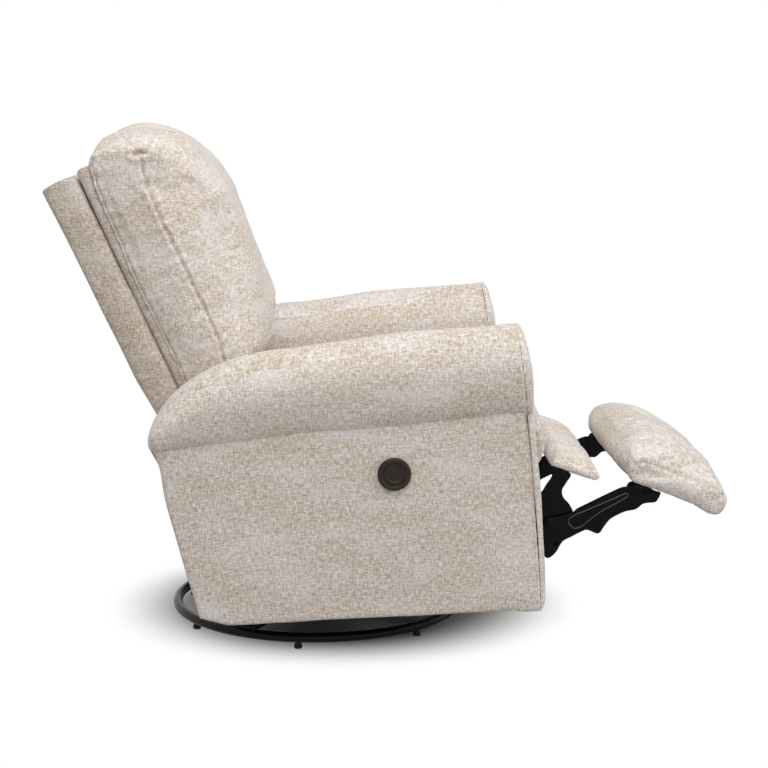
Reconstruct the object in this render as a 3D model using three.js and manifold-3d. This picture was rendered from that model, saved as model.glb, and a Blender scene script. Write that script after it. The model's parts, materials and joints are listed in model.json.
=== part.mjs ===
// Power swivel glider recliner, in millimetres, +Z up, +X towards the footrest, +Y to the sitter's left.
// It is built round the swivel axis, shown with the footrest out and the back partly down.
import * as THREE from 'three';
import { mergeVertices } from 'three/addons/utils/BufferGeometryUtils.js';
import Module from 'manifold-3d';

const wasm = await Module();
wasm.setup();

// Clearances and stock
const fitGap = 0.3;
const runGap = 0.4;
const layerGap = 1;
const openPivotGap = 1.9;
const plateThick = 3;
const cutOver = 5;

// Floor ring and its cross
const ringRadius = 290;
const ringTubeRadius = 9.5;
const footHeight = 14;
const footRadius = 8;
const footInset = 8;
const footCount = 7;
const firstFootDegrees = -149.7;
const strapWidth = 45;
const strapThick = 4;
const strapCount = 4;
const firstStrapDegrees = -29;
const hubRadius = 92;

// Swivel bearing
const raceOuterRadius = 90;
const raceInnerRadius = 60;
const raceThick = 6;
const swivelPinRadius = 8;
const pinHeadRadius = 14;
const pinHeadThick = 6;

// Glide base and its hanging links
const swivelPlateLength = 256;
const swivelPlateThick = 4;
const glideSideInnerY = 227;
const glideHalfSpan = 115;
const glidePivotZ = 250;
const glideLinkLength = 120;
const glideLinkRadius = 13;
const glideStudRadius = 6;
const glideSideLowZ = 46;
const glideHoleRadius = 42;

// Chair frame between the arms
const frontRailX = 176;
const frontRailDepth = 22;
const rearRailX = -190;
const rearRailDepth = 22;
const railLowZ = 112;
const railHeight = 70;
const mechLowZ = 115;
const mechRearDropLength = 68;
const mechRearDropHeight = 95;
const mechHoleRadius = 40;
const rearPanelTopZ = 284;
const rearPanelLowZ = 102;
const rearPanelThick = 15;
const rearPanelLean = 38;

// Arms: a padded roll and inner wall, a board, an outer panel and a front facing
const armInnerY = 272;
const armCrestY = 346.5;
const armRollHalfWidth = 78.5;
const armPanelOuterY = 412;
const armPanelThick = 24;
const armBoardThick = 19;
const armPanelBevel = 5;
const rollTuckDrop = 60;
const bodyLowRearX = -221;
const bodyLowRearZ = 98;
const bodyRearHeight = 330;
const bodyRearLean = 89;
const bodySoleX = -169;
const bodySoleZ = 84;
const bodySoleRise = 26;
const bodyFrontX = 412;
const bodyFrontZ = 128;
const bodyFrontHeight = 517;
const bodyFrontLean = 48;
const frontLeanPowerShare = 1.35;
const creaseRearZ = 418;
const creaseRise = 71;
const rollRise = 152;
const rollEndLength = 320;
const rollEndPowerShare = 0.62;
const rollLowShare = 0.48;
const rollStartShare = 0.02;
const crestFlatShare = 0.1;
const facingThick = 19;
const facingRound = 11;
const facingGap = 0.5;
const facingEndShare = 0.3;
const facingPullShare = 0.45;
const boardInset = 14;

// Power switch on the right side panel
const switchX = 139;
const switchZ = 370;
const bezelOuterRadius = 31;
const bezelInnerRadius = 20.7;
const bezelThick = 5;
const buttonRadius = 20;
const buttonThick = 7.5;
const buttonStand = 4.5;
const switchPocketDepth = 10;
const switchBarLength = 15;
const switchBarWidth = 3.4;
const switchBarRise = 1.6;

// Seat rails, which slide on the chair frame
const seatRailTopZ = 339;
const seatRailLowZ = 312;
const seatLipDepth = 17;
const seatRailRearX = -150;
const seatRailFrontX = 322;
const torqueX = 309;
const torqueZ = 326;
const torqueBossRadius = 18;
const lowStudX = 321;
const lowStudZ = 270;
const lowStudRadius = 5;
const linkBossRadius = 12;
const reclineX = -165;
const reclineZ = 350;
const reclinePinRadius = 7;
const reclineBossRadius = 14;

// Seat boards, springs and cushion
const seatBoardThick = 13;
const frontBoardX = 262;
const frontBoardDepth = 28;
const rearBoardX = -128;
const rearBoardDepth = 32;
const springCount = 4;
const springPitch = 104;
const springWire = 4;
const springTieWire = 2.6;
const springSwing = 26;
const springWaves = 11;
const springTieShares = [0.3, 0.7];
const seatCushionHalfWidth = 266;
const seatCushionRearX = -142;
const seatCushionLength = 575;
const seatCushionThick = 102;
const seatCrown = 20;
const seatNose = 24;
const midPadClear = 14;
const midPadInnerX = seatCushionRearX + seatCushionLength + midPadClear;

// Drive: motor, rail, slotted block and the torque tube that it turns
const motorRearX = -140;
const motorLength = 88;
const motorWidth = 84;
const motorHeight = 96;
const motorNeckLength = 22;
const motorNeckDrop = 24;
const inletDepth = 10;
const inletWidth = 30;
const inletHeight = 26;
const inletBoreRadius = 7;
const inletBoreDepth = 7;
const crankRadius = 45;
const crankRestDegrees = 41;
const crankPinRadius = 4;
const crankThick = 4;
const crankSideY = 21;
const crankWidth = 16;
const blockLength = 26;
const blockWidth = 36;
const blockHeight = 34;
const blockSlotClear = 1.4;
const blockSlotTravel = 11.1;
const driveRailWidth = 40;
const driveRailHeight = 14;
const driveRailFrontX = 352;
const torqueTubeSide = 22;
const torqueShaftRadius = 10;

// Footrest linkage pivots with the footrest out
const armToTailX = 467;
const armToTailZ = 190;
const elbowX = 467;
const elbowZ = 227;
const padPivotX = 641;
const padPivotZ = 287;
const upperHeelX = 444;
const upperHeelZ = 240;
const upperToeX = 617;
const upperToeZ = 303;
const pivotStudRadius = 4.5;
const linkHalfWidth = 10;
const lobeRadius = 14;
const lobeOffset = 17;
const lobeShares = [0.385, 0.72];
const mainLinkEdgeShare = 0.7;
const mainLinkRunShare = 0.9;
const bracketFootX = 455;
const bracketHeadX = 462;
const bracketHeadWidth = 14;

// Footrest pads
const padInnerX = 603;
const padInnerZ = 320;
const padTiltDegrees = 20.7;
const padLength = 182;
const padEdgeThick = 40;
const padCrown = 46;
const padNose = 11.5;
const padHalfWidth = 266;
const padBoardThick = 12;
const padBoardInset = 16;
const padBoardHalfWidth = 258;
const padBracketRunShares = [0.08, 0.5];
const midPadInnerZ = 348.4;
const midPadTiltDegrees = 18.8;
const midPadLength = 100;
const midPadThick = 21;
const midPadCrown = 10;

// Reclining back, drawn along its own leaning front face
const backX = -263;
const backZ = 516;
const backLeanDegrees = 24.6;
const backHalfWidth = 266;
const backTop = 415;
const backLow = 200;
const backTopThick = 70;
const backLowThick = 46;
const backTopRound = 14;
const backTopRearRise = 9;
const pocketDepth = 30;
const pocketRim = 14;
const pocketTop = 385;
const backFrameThick = 18;
const backFrameLow = 60;
const bracketRun = 150;
const bracketRadius = 11;
const gussetLow = 15;
const gussetHalfWidth = 260;
const gussetTop = 365;
const pillowHalfWidth = 266;
const pillowX = -248;
const pillowZ = 497;
const pillowLeanDegrees = 21.7;
const pillowLength = 470;
const pillowBox = 112;
const pillowCrown = 97;
const pillowTopCrown = 46;

const degree = Math.PI / 180;
const sides = { left: 1, right: -1 };

// Finishes
function finish(name, color, roughness, metalness) {
  return new THREE.MeshStandardMaterial({ name, color, roughness, metalness });
}
const fabric = finish('fabric', 0xd9cfc2, 0.95, 0);
const blackSteel = finish('black_steel', 0x17171a, 0.45, 0.6);
const barePlywood = finish('plywood', 0xc9a676, 0.8, 0);
const blackPlastic = finish('black_plastic', 0x1c1c1e, 0.55, 0);
const bronzePlastic = finish('bronze_plastic', 0x3c3029, 0.4, 0.2);
const springSteel = finish('spring_steel', 0x8a8d90, 0.35, 0.9);

// Solids to and from manifold-3d
const weldDistance = 0.0001;
function solidOf(geometry) {
  const bare = geometry.clone();
  bare.deleteAttribute('normal');
  bare.deleteAttribute('uv');
  const merged = mergeVertices(bare, weldDistance);
  const vertProperties = new Float32Array(merged.attributes.position.array);
  const triVerts = new Uint32Array(merged.index.array);
  return new wasm.Manifold(new wasm.Mesh({ numProp: 3, vertProperties, triVerts }));
}

function geometryOf(solid) {
  const made = solid.getMesh();
  const geometry = new THREE.BufferGeometry();
  geometry.setAttribute('position', new THREE.BufferAttribute(made.vertProperties, 3));
  geometry.setIndex(new THREE.BufferAttribute(made.triVerts, 1));
  geometry.computeVertexNormals();
  return geometry;
}

function joined(geometries) {
  const whole = geometries.map(solidOf).reduce((sum, next) => sum.add(next));
  return geometryOf(whole);
}

function cut(geometry, tools) {
  const left = tools.map(solidOf).reduce((rest, tool) => rest.subtract(tool), solidOf(geometry));
  return geometryOf(left);
}

// The same piece on the other side of the chair: Y changes sign and each face is turned round
function onSide(geometry, side) {
  if (side > 0) return geometry;
  const turned = geometryOf(solidOf(geometry));
  turned.scale(1, -1, 1);
  const index = turned.index.array;
  for (let i = 0; i < index.length; i += 3) {
    [index[i + 1], index[i + 2]] = [index[i + 2], index[i + 1]];
  }
  turned.computeVertexNormals();
  return turned;
}

// Plain shapes
function block(lowX, highX, lowY, highY, lowZ, highZ) {
  const box = new THREE.BoxGeometry(highX - lowX, highY - lowY, highZ - lowZ);
  return box.translate((lowX + highX) / 2, (lowY + highY) / 2, (lowZ + highZ) / 2);
}

// A plate or board whose outline lies in X and Z, from lowY to highY
function prism(outline, lowY, highY, bevel = 0) {
  const shape = new THREE.Shape(outline.map(([x, z]) => new THREE.Vector2(x, z)));
  const geometry = new THREE.ExtrudeGeometry(shape, {
    depth: highY - lowY - 2 * bevel,
    bevelEnabled: bevel > 0,
    bevelThickness: bevel,
    bevelSize: bevel,
    bevelOffset: -bevel,
    bevelSegments: 2,
  });
  geometry.rotateX(Math.PI / 2);
  return geometry.translate(0, highY - bevel, 0);
}

// A round bar along Y
function roundBar(x, z, radius, lowY, highY, segments = 14) {
  const bar = new THREE.CylinderGeometry(radius, radius, highY - lowY, segments);
  return bar.translate(x, (lowY + highY) / 2, z);
}

// A round bar along Z
function upright(x, y, radius, lowZ, highZ, segments = 16) {
  const bar = new THREE.CylinderGeometry(radius, radius, highZ - lowZ, segments);
  bar.rotateX(Math.PI / 2);
  return bar.translate(x, y, (lowZ + highZ) / 2);
}

// A flat link with round ends between two points in X and Z
function linkBar([x0, z0], [x1, z1], radius, lowY, highY) {
  const turn = Math.atan2(z1 - z0, x1 - x0);
  const steps = 6;
  const outline = [];
  for (const [x, z, start] of [[x1, z1, -Math.PI / 2], [x0, z0, Math.PI / 2]]) {
    for (let i = 0; i <= steps; i += 1) {
      const angle = turn + start + (Math.PI * i) / steps;
      outline.push([x + radius * Math.cos(angle), z + radius * Math.sin(angle)]);
    }
  }
  return prism(outline, lowY, highY);
}

// A closed skin over rings of points, alike in count, with each end fanned to a point inside it
function skin(rings, middleOf) {
  const count = rings[0].length;
  const points = [...rings.flat(), middleOf(rings[0]), middleOf(rings.at(-1))];
  const firstMiddle = points.length - 2;
  const lastMiddle = points.length - 1;
  const last = (rings.length - 1) * count;
  const faces = [];
  for (let j = 0; j < count; j += 1) {
    const next = (j + 1) % count;
    for (let i = 0; i < last; i += count) {
      faces.push([i + j, i + next, i + next + count], [i + j, i + next + count, i + j + count]);
    }
    faces.push([next, j, firstMiddle], [last + j, last + next, lastMiddle]);
  }
  const skinned = (list) => {
    const geometry = new THREE.BufferGeometry();
    geometry.setAttribute('position', new THREE.Float32BufferAttribute(points.flat(), 3));
    geometry.setIndex(list.flat());
    return geometry;
  };
  const geometry = skinned(faces);
  if (solidOf(geometry).volume() > 0) return geometry;
  return skinned(faces.map(([p, q, r]) => [p, r, q]));
}

// The mean of a ring's points
function middlePoint(ring) {
  return [0, 1, 2].map((axis) => ring.reduce((sum, point) => sum + point[axis], 0) / ring.length);
}

// How full a cushion is at a share of its half width: 1 in the middle and 0 at its seams
const swellPowerShare = 3.2;
const swellRootShare = 0.62;
function swell(share) {
  const rest = 1 - Math.pow(Math.abs(share), swellPowerShare);
  return Math.pow(Math.max(rest, 0), swellRootShare);
}

// Stations across a cushion, as shares of its half width
const stationShares = [-1, -0.97, -0.88, -0.72, -0.45, -0.15, 0.15, 0.45, 0.72, 0.88, 0.97, 1];

// A cushion whose side outline grows from its seams to its middle.
// Each outline row is [along, up, grow along, grow up], the first two at the seams.
function cushion(halfWidth, rows, place) {
  const rings = stationShares.map((share) => rows.map(([along, up, growAlong, growUp]) => {
    const full = swell(share);
    const [x, z] = place(along + growAlong * full, up + growUp * full);
    return [x, share * halfWidth, z];
  }));
  return skin(rings, middlePoint);
}

// A frame of its own for what leans: along runs up or out along it, off stands away from it
function leaning(originX, originZ, turn) {
  const c = Math.cos(turn);
  const s = Math.sin(turn);
  return (along, off) => [originX + along * c - off * s, originZ + along * s + off * c];
}

const chair = new THREE.Group();
function add(name, geometry, material) {
  const mesh = new THREE.Mesh(geometry, material);
  mesh.name = name;
  chair.add(mesh);
}

// Heights that stack up from the floor
const ringZ = footHeight + ringTubeRadius;
const strapLowZ = ringZ + ringTubeRadius + fitGap;
const strapTopZ = strapLowZ + strapThick;
const lowerRaceZ = strapTopZ + fitGap;
const upperRaceZ = lowerRaceZ + raceThick + runGap;
const swivelPlateZ = upperRaceZ + raceThick + fitGap;

// Layers that stack up outwards from the glide sides
const glideSideY = [glideSideInnerY, glideSideInnerY + plateThick];
const glideLinkY = nextLayer(glideSideY);
const mechY = nextLayer(glideLinkY);
const seatWebY = [mechY[1] + plateThick, mechY[1] + 2 * plateThick];
const lowLinkY = nextLayer(seatWebY);
const driveLinkY = nextLayer(lowLinkY);
const mainLinkY = nextLayer(driveLinkY);
const upperLinkY = nextLayer(mainLinkY);
const midPadHalfWidth = mainLinkY[0] - runGap;
const studEndGap = layerGap / 2;
const mechTopZ = seatRailTopZ - plateThick - runGap;

function nextLayer([, outer]) {
  return [outer + layerGap, outer + layerGap + plateThick];
}

// Floor ring with its welded foot stubs
function floorRing() {
  const tube = new THREE.TorusGeometry(ringRadius, ringTubeRadius, 12, 56).translate(0, 0, ringZ);
  const stubs = [];
  for (let i = 0; i < footCount; i += 1) {
    const angle = (firstFootDegrees * degree) + (2 * Math.PI * i) / footCount;
    const reach = ringRadius - footInset;
    const stubTop = ringZ - ringTubeRadius / 2;
    stubs.push(upright(reach * Math.cos(angle), reach * Math.sin(angle), footRadius, 0, stubTop, 10));
  }
  return joined([tube, ...stubs]);
}

// Flat straps that carry the swivel from the ring
function floorCross() {
  const reach = ringRadius + ringTubeRadius / 2;
  const pieces = [upright(0, 0, hubRadius, strapLowZ, strapTopZ, 32)];
  for (let i = 0; i < strapCount / 2; i += 1) {
    const strap = block(-reach, reach, -strapWidth / 2, strapWidth / 2, strapLowZ, strapTopZ);
    pieces.push(strap.rotateZ((firstStrapDegrees * degree) + (2 * Math.PI * i) / strapCount));
  }
  const bore = upright(0, 0, swivelPinRadius + fitGap, strapLowZ - cutOver, strapTopZ + cutOver);
  return cut(joined(pieces), [bore]);
}

function race(lowZ) {
  const disc = upright(0, 0, raceOuterRadius, lowZ, lowZ + raceThick, 32);
  return cut(disc, [upright(0, 0, raceInnerRadius, lowZ - cutOver, lowZ + raceThick + cutOver, 28)]);
}

// King pin: one head lies under the cross and the other over the swivel plate
function swivelPin() {
  const lowHeadZ = strapLowZ - fitGap;
  const highHeadZ = swivelPlateZ + swivelPlateThick + runGap;
  return joined([
    upright(0, 0, pinHeadRadius, lowHeadZ - pinHeadThick, lowHeadZ),
    upright(0, 0, pinHeadRadius, highHeadZ, highHeadZ + pinHeadThick),
    upright(0, 0, swivelPinRadius, lowHeadZ - fitGap, highHeadZ + fitGap),
  ]);
}

function swivelPlate() {
  const half = swivelPlateLength / 2;
  const reach = glideSideY[0] - fitGap;
  const plate = block(-half, half, -reach, reach, swivelPlateZ, swivelPlateZ + swivelPlateThick);
  const low = swivelPlateZ - cutOver;
  const high = swivelPlateZ + swivelPlateThick + cutOver;
  return cut(plate, [upright(0, 0, swivelPinRadius + runGap, low, high)]);
}

// Side of the glide base: a stamped plate with two studs that the links hang from
function glideSide() {
  const half = glideHalfSpan + glideLinkRadius;
  const top = glidePivotZ + glideLinkRadius;
  const outline = [
    [-half, glideSideLowZ],
    [half, glideSideLowZ],
    [half, top],
    [half - 2 * glideLinkRadius, top],
    [half - 4 * glideLinkRadius, glidePivotZ - glideLinkRadius],
    [-half + 4 * glideLinkRadius, glidePivotZ - glideLinkRadius],
    [-half + 2 * glideLinkRadius, top],
    [-half, top],
  ];
  const [inner, outer] = glideSideY;
  const studEnd = mechY[0] - studEndGap;
  const studs = [-glideHalfSpan, glideHalfSpan].map((x) => (
    roundBar(x, glidePivotZ, glideStudRadius, outer - studEndGap, studEnd)));
  const middleZ = (glideSideLowZ + glidePivotZ) / 2;
  const holes = [-1, 1].map((way) => (
    roundBar(way * glideHalfSpan / 2, middleZ, glideHoleRadius, inner - cutOver, outer + cutOver, 20)));
  return joined([cut(prism(outline, inner, outer), holes), ...studs]);
}

function glideLink(x) {
  const [inner, outer] = glideLinkY;
  const lowZ = glidePivotZ - glideLinkLength;
  const bores = [glidePivotZ, lowZ].map((z) => (
    roundBar(x, z, glideStudRadius + runGap, inner - cutOver, outer + cutOver)));
  return cut(linkBar([x, glidePivotZ], [x, lowZ], glideLinkRadius, inner, outer), bores);
}

// Side plate of the chair frame, hung on the glide links and carrying the sliding seat rail
function mechRail() {
  const rear = rearRailX + rearRailDepth + fitGap;
  const front = frontRailX - fitGap;
  const outline = [
    [rear, mechLowZ],
    [front, mechLowZ],
    [front, mechTopZ],
    [rear + mechRearDropLength, mechTopZ],
    [rear, mechTopZ - mechRearDropHeight],
  ];
  const [inner, outer] = mechY;
  const lowZ = glidePivotZ - glideLinkLength;
  const studs = [-glideHalfSpan, glideHalfSpan].map((x) => (
    roundBar(x, lowZ, glideStudRadius, glideSideY[1] + studEndGap, inner + studEndGap)));
  const holes = [-1, 1].map((way) => (
    roundBar(way * glideHalfSpan / 2, glidePivotZ - glideLinkLength / 3, mechHoleRadius,
      inner - cutOver, outer + cutOver, 20)));
  return joined([cut(prism(outline, inner, outer), holes), ...studs]);
}

function crossRail(x, depth) {
  const reach = armInnerY - fitGap;
  return block(x, x + depth, -reach, reach, railLowZ, railLowZ + railHeight);
}

// Upholstered panel that closes the back of the chair under the reclining back
function rearPanel() {
  const front = rearRailX - fitGap;
  const outline = [
    [front, rearPanelLowZ],
    [front, railLowZ + railHeight],
    [front - rearPanelLean, rearPanelTopZ],
    [front - rearPanelLean - rearPanelThick, rearPanelTopZ],
    [front - rearPanelThick, rearPanelLowZ],
  ];
  const reach = armInnerY - fitGap;
  return prism(outline, -reach, reach);
}

// The body's outline seen from the side
function soleZ(x) {
  return bodySoleZ + (bodySoleRise * (x - bodySoleX)) / (bodyFrontX - bodySoleX);
}

function rearX(z) {
  return bodyLowRearX - (bodyRearLean * (z - bodyLowRearZ)) / bodyRearHeight;
}

function frontX(z) {
  const share = Math.max(z - bodyFrontZ, 0) / bodyFrontHeight;
  return bodyFrontX - bodyFrontLean * Math.pow(share, frontLeanPowerShare);
}

function creaseZ(x) {
  const rear = rearX(creaseRearZ);
  return creaseRearZ + (creaseRise * (x - rear)) / (bodyFrontX - rear);
}

const creaseFrontX = frontX(creaseZ(bodyFrontX));

function crestZ(x) {
  const along = (x - rearX(creaseRearZ)) / rollEndLength;
  const share = Math.min(Math.max(along, rollStartShare), 1);
  return creaseZ(x) + rollRise * Math.pow(1 - Math.pow(1 - share, 2), rollEndPowerShare);
}

// A board or panel of the arm, from the sole up to the crease under the roll
function armPanel(lowY, highY, inset, bevel) {
  const soleFront = frontX(soleZ(bodyFrontX)) - inset;
  const topGap = facingGap + inset;
  const creaseRear = rearX(creaseRearZ) + inset;
  const steps = 4;
  const outline = [
    [rearX(bodyLowRearZ) + inset, bodyLowRearZ + inset],
    [bodySoleX + inset, soleZ(bodySoleX) + inset],
    [soleFront, soleZ(bodyFrontX) + inset],
  ];
  const lowest = bodyFrontZ + inset;
  const highest = creaseZ(creaseFrontX) - topGap;
  for (let i = 1; i <= steps; i += 1) {
    const z = lowest + ((highest - lowest) * i) / steps;
    outline.push([frontX(z) - inset, z]);
  }
  outline.push([creaseRear, creaseZ(creaseRear) - topGap]);
  return prism(outline, lowY, highY, bevel);
}

// Points of the roll, from the crease on its outer side over the crest to its inner side
const rollLowSteps = 3;
const rollTopSteps = 12;
function rollArc(x) {
  const low = creaseZ(x);
  const high = crestZ(x);
  const middle = low + rollLowShare * (high - low);
  const outer = armCrestY + armRollHalfWidth;
  const tuck = outer - armPanelOuterY + fitGap;
  const points = [];
  for (let i = 0; i < rollLowSteps; i += 1) {
    const angle = (-Math.PI / 2) * (1 - i / rollLowSteps);
    points.push([outer - tuck + tuck * Math.cos(angle), middle + (middle - low) * Math.sin(angle)]);
  }
  for (let i = 0; i <= rollTopSteps; i += 1) {
    const angle = (Math.PI * i) / rollTopSteps;
    const y = armCrestY + armRollHalfWidth * Math.cos(angle);
    points.push([y, middle + (high - middle) * Math.sin(angle)]);
  }
  return points;
}

// One arm: the roll and the padded inner wall, in one skin from its rounded rear end to its seam
const armStationShares = [0, 0.012, 0.04, 0.085, 0.14, 0.21, 0.3, 0.42, 0.58, 0.78, 1];
const wallRowShares = [0, 0.33, 0.67, 1];
function armRoll() {
  const wallOuter = armPanelOuterY - armPanelThick - armBoardThick - 2 * fitGap;
  const rearTop = rearX(creaseRearZ);
  const rings = armStationShares.map((share) => {
    const along = (y, z) => {
      const rear = rearX(Math.min(z, creaseRearZ));
      return [rear + share * (frontX(z) - rear), y, z];
    };
    const x = rearTop + share * (creaseFrontX - rearTop);
    const arc = rollArc(x);
    const tuckZ = arc.at(-1)[1] - rollTuckDrop;
    const lowZ = Math.max(soleZ(x) + boardInset, bodyLowRearZ);
    const inner = wallRowShares.map((rowShare) => [armInnerY, tuckZ + rowShare * (lowZ - tuckZ)]);
    const outer = wallRowShares.map((rowShare) => [wallOuter, lowZ + rowShare * (creaseZ(x) - lowZ)]);
    return [...arc, ...inner, ...outer].map(([y, z]) => along(y, z));
  });
  const middleOf = (ring) => {
    const roll = middlePoint(ring.slice(0, rollLowSteps + rollTopSteps + 1));
    return [roll[0], (armInnerY + wallOuter) / 2, roll[2]];
  };
  return skin(rings, middleOf);
}

// Rows of the arm's front end, from the sole to the crest: height, inner edge and outer edge
const facingWallShares = [0, 0.02, 0.25, 0.5, 0.75, 1];
function facingRows() {
  const arc = rollArc(creaseFrontX);
  const lowZ = soleZ(bodyFrontX);
  const creaseHeight = arc[0][1];
  const rows = facingWallShares.map((share) => (
    [lowZ + share * (creaseHeight - lowZ), armInnerY, armPanelOuterY]));
  for (let i = 1; i <= rollLowSteps; i += 1) {
    const [outerY, z] = arc[i];
    rows.push([z, armInnerY, outerY]);
  }
  for (let i = 1; i < rollTopSteps / 2; i += 1) {
    const [outerY, z] = arc[rollLowSteps + i];
    const [innerY] = arc[rollLowSteps + rollTopSteps - i];
    rows.push([z, innerY, outerY]);
  }
  const crestHalf = armRollHalfWidth * crestFlatShare;
  rows.push([arc[rollLowSteps + rollTopSteps / 2][1], armCrestY - crestHalf, armCrestY + crestHalf]);
  return rows;
}

// Padded facing that closes the front of one arm, from the roll down to the sole.
// Its edge shares are how far out and how far in from the seam each point of the round edge lies.
const facingEdgeShares = [[0, 0], [0.55, 0.12], [0.86, 0.42], [1, 1]];
function armFacing() {
  const rows = facingRows();
  const lowest = rows[0][0];
  const highest = rows.at(-1)[0];
  const rings = rows.map(([z, innerY, outerY]) => {
    const fromEnd = Math.min(z - lowest, highest - z) + facingRound * facingEndShare;
    const full = Math.min(1, Math.sqrt(fromEnd / (2 * facingRound)));
    const pull = Math.min(facingRound, (outerY - innerY) * facingPullShare);
    const back = frontX(z) + facingGap;
    const edge = (edgeY, way) => facingEdgeShares.map(([out, inset]) => (
      [back + out * full * facingThick, edgeY + way * inset * pull, z]));
    return [...edge(outerY, -1), ...edge(innerY, 1).reverse()];
  });
  return skin(rings, middlePoint);
}

// Power switch: a round bezel with a rocking button, on the outside of the right panel
function sidePanel(side) {
  const panel = armPanel(armPanelOuterY - armPanelThick, armPanelOuterY, 0, armPanelBevel);
  if (side > 0) return panel;
  const pocket = roundBar(switchX, switchZ, bezelInnerRadius + runGap,
    armPanelOuterY - switchPocketDepth, armPanelOuterY + cutOver, 28);
  return onSide(cut(panel, [pocket]), side);
}

function switchBezel() {
  const faceY = armPanelOuterY + fitGap;
  const ring = roundBar(switchX, switchZ, bezelOuterRadius, faceY, faceY + bezelThick, 36);
  const [start, end] = [faceY - cutOver, faceY + bezelThick + cutOver];
  const bore = roundBar(switchX, switchZ, bezelInnerRadius, start, end, 32);
  return onSide(cut(ring, [bore]), sides.right);
}

function switchButton() {
  const outerY = armPanelOuterY + fitGap + buttonStand;
  const halfBar = switchBarLength / 2;
  const cap = roundBar(switchX, switchZ, buttonRadius, outerY - buttonThick, outerY, 32);
  const bar = block(switchX - halfBar, switchX + halfBar, outerY - switchBarRise, outerY + switchBarRise,
    switchZ - switchBarWidth / 2, switchZ + switchBarWidth / 2);
  return onSide(joined([cap, bar]), sides.right);
}

// Seat rail: an upside-down channel that rides on the chair frame, with studs for the footrest and the back
function seatRail() {
  const [webInner, webOuter] = seatWebY;
  const lipInner = mechY[0] - layerGap - plateThick;
  const flangeRear = seatRailRearX + mechRearDropLength;
  const web = joined([
    block(seatRailRearX, seatRailFrontX, webInner, webOuter, seatRailLowZ, seatRailTopZ),
    roundBar(torqueX, torqueZ, torqueBossRadius, webInner, webOuter, 20),
    linkBar([lowStudX, lowStudZ], [torqueX, torqueZ - linkBossRadius], linkBossRadius, webInner, webOuter),
    linkBar([reclineX, reclineZ], [seatRailRearX + reclineBossRadius, seatRailTopZ - reclineBossRadius],
      reclineBossRadius, webInner, webOuter),
  ]);
  const bore = roundBar(torqueX, torqueZ, torqueShaftRadius + runGap,
    webInner - cutOver, webOuter + cutOver, 20);
  const studY = [webOuter - studEndGap, lowLinkY[1] + studEndGap];
  return joined([
    cut(web, [bore]),
    block(flangeRear, frontRailX, lipInner, webOuter - layerGap, seatRailTopZ - plateThick, seatRailTopZ),
    block(flangeRear, frontRailX, lipInner, lipInner + plateThick, seatRailTopZ - seatLipDepth, seatRailTopZ),
    roundBar(lowStudX, lowStudZ, lowStudRadius, ...studY),
    roundBar(reclineX, reclineZ, reclinePinRadius, ...studY),
  ]);
}

function seatBoard(x, depth) {
  const lowZ = seatRailTopZ + fitGap;
  const reach = seatWebY[1];
  return block(x, x + depth, -reach, reach, lowZ, lowZ + seatBoardThick);
}

// Zigzag springs from board to board, tied to each other by two cross wires
function seatSprings() {
  const startX = rearBoardX + rearBoardDepth + fitGap;
  const endX = frontBoardX - fitGap;
  const z = seatRailTopZ + fitGap + seatBoardThick / 2;
  const half = springWire / 2;
  const section = new THREE.Shape([
    new THREE.Vector2(-half, -half),
    new THREE.Vector2(half, -half),
    new THREE.Vector2(half, half),
    new THREE.Vector2(-half, half),
  ]);
  const pieces = [];
  for (let i = 0; i < springCount; i += 1) {
    const y = springPitch * (i - (springCount - 1) / 2);
    const lead = 2 * springWire;
    const points = [new THREE.Vector3(startX, y, z), new THREE.Vector3(startX + lead, y, z)];
    for (let k = 1; k < springWaves; k += 1) {
      const way = k % 2 ? 1 : -1;
      const x = startX + ((endX - startX) * k) / springWaves;
      points.push(new THREE.Vector3(x, y + (way * springSwing) / 2, z));
    }
    points.push(new THREE.Vector3(endX - lead, y, z), new THREE.Vector3(endX, y, z));
    const curve = new THREE.CatmullRomCurve3(points);
    pieces.push(new THREE.ExtrudeGeometry(section, { steps: springWaves * 3, extrudePath: curve }));
  }
  const tieReach = (springPitch * (springCount - 1)) / 2 + springSwing / 2;
  const tieHalf = springTieWire / 2;
  for (const share of springTieShares) {
    const x = startX + (endX - startX) * share;
    pieces.push(block(x - tieHalf, x + tieHalf, -tieReach, tieReach, z - tieHalf, z + tieHalf));
  }
  return joined(pieces);
}

// Seat cushion with its crowned top and a nose that rolls over the front board
function seatCushion() {
  const length = seatCushionLength;
  const thick = seatCushionThick;
  const noseShares = [[0.985, 0], [1, 0.24], [1, 0.5], [0.985, 0.78], [0.945, 0.95]];
  const topShares = [0.88, 0.7, 0.45, 0.2, 0.04];
  const rearTopShare = 0.94;
  const nose = noseShares.map(([along, up]) => (
    [along * length, up * thick, seatNose * Math.sqrt(up), seatCrown * up * up]));
  const rows = [
    [0, 0, 0, 0],
    ...nose,
    ...topShares.map((along) => [along * length, thick, 0, seatCrown]),
    [0, rearTopShare * thick, 0, seatCrown / 2],
  ];
  const lowZ = seatRailTopZ + 2 * fitGap + seatBoardThick;
  return cushion(seatCushionHalfWidth, rows, leaning(seatCushionRearX, lowZ, 0));
}

// Drive along the middle of the seat
const blockMiddleZ = torqueZ - crankRadius + blockSlotTravel / 2;
const driveRailTopZ = blockMiddleZ - blockHeight / 2 - fitGap;
function motorHousing() {
  const topZ = seatRailTopZ;
  const half = motorWidth / 2;
  const body = block(motorRearX, motorRearX + motorLength, -half, half, topZ - motorHeight, topZ);
  const neckX = motorRearX + motorLength;
  const neck = block(neckX - cutOver, neckX + motorNeckLength, -driveRailWidth / 2, driveRailWidth / 2,
    driveRailTopZ - driveRailHeight, topZ - motorNeckDrop);
  return joined([body, neck]);
}

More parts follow.
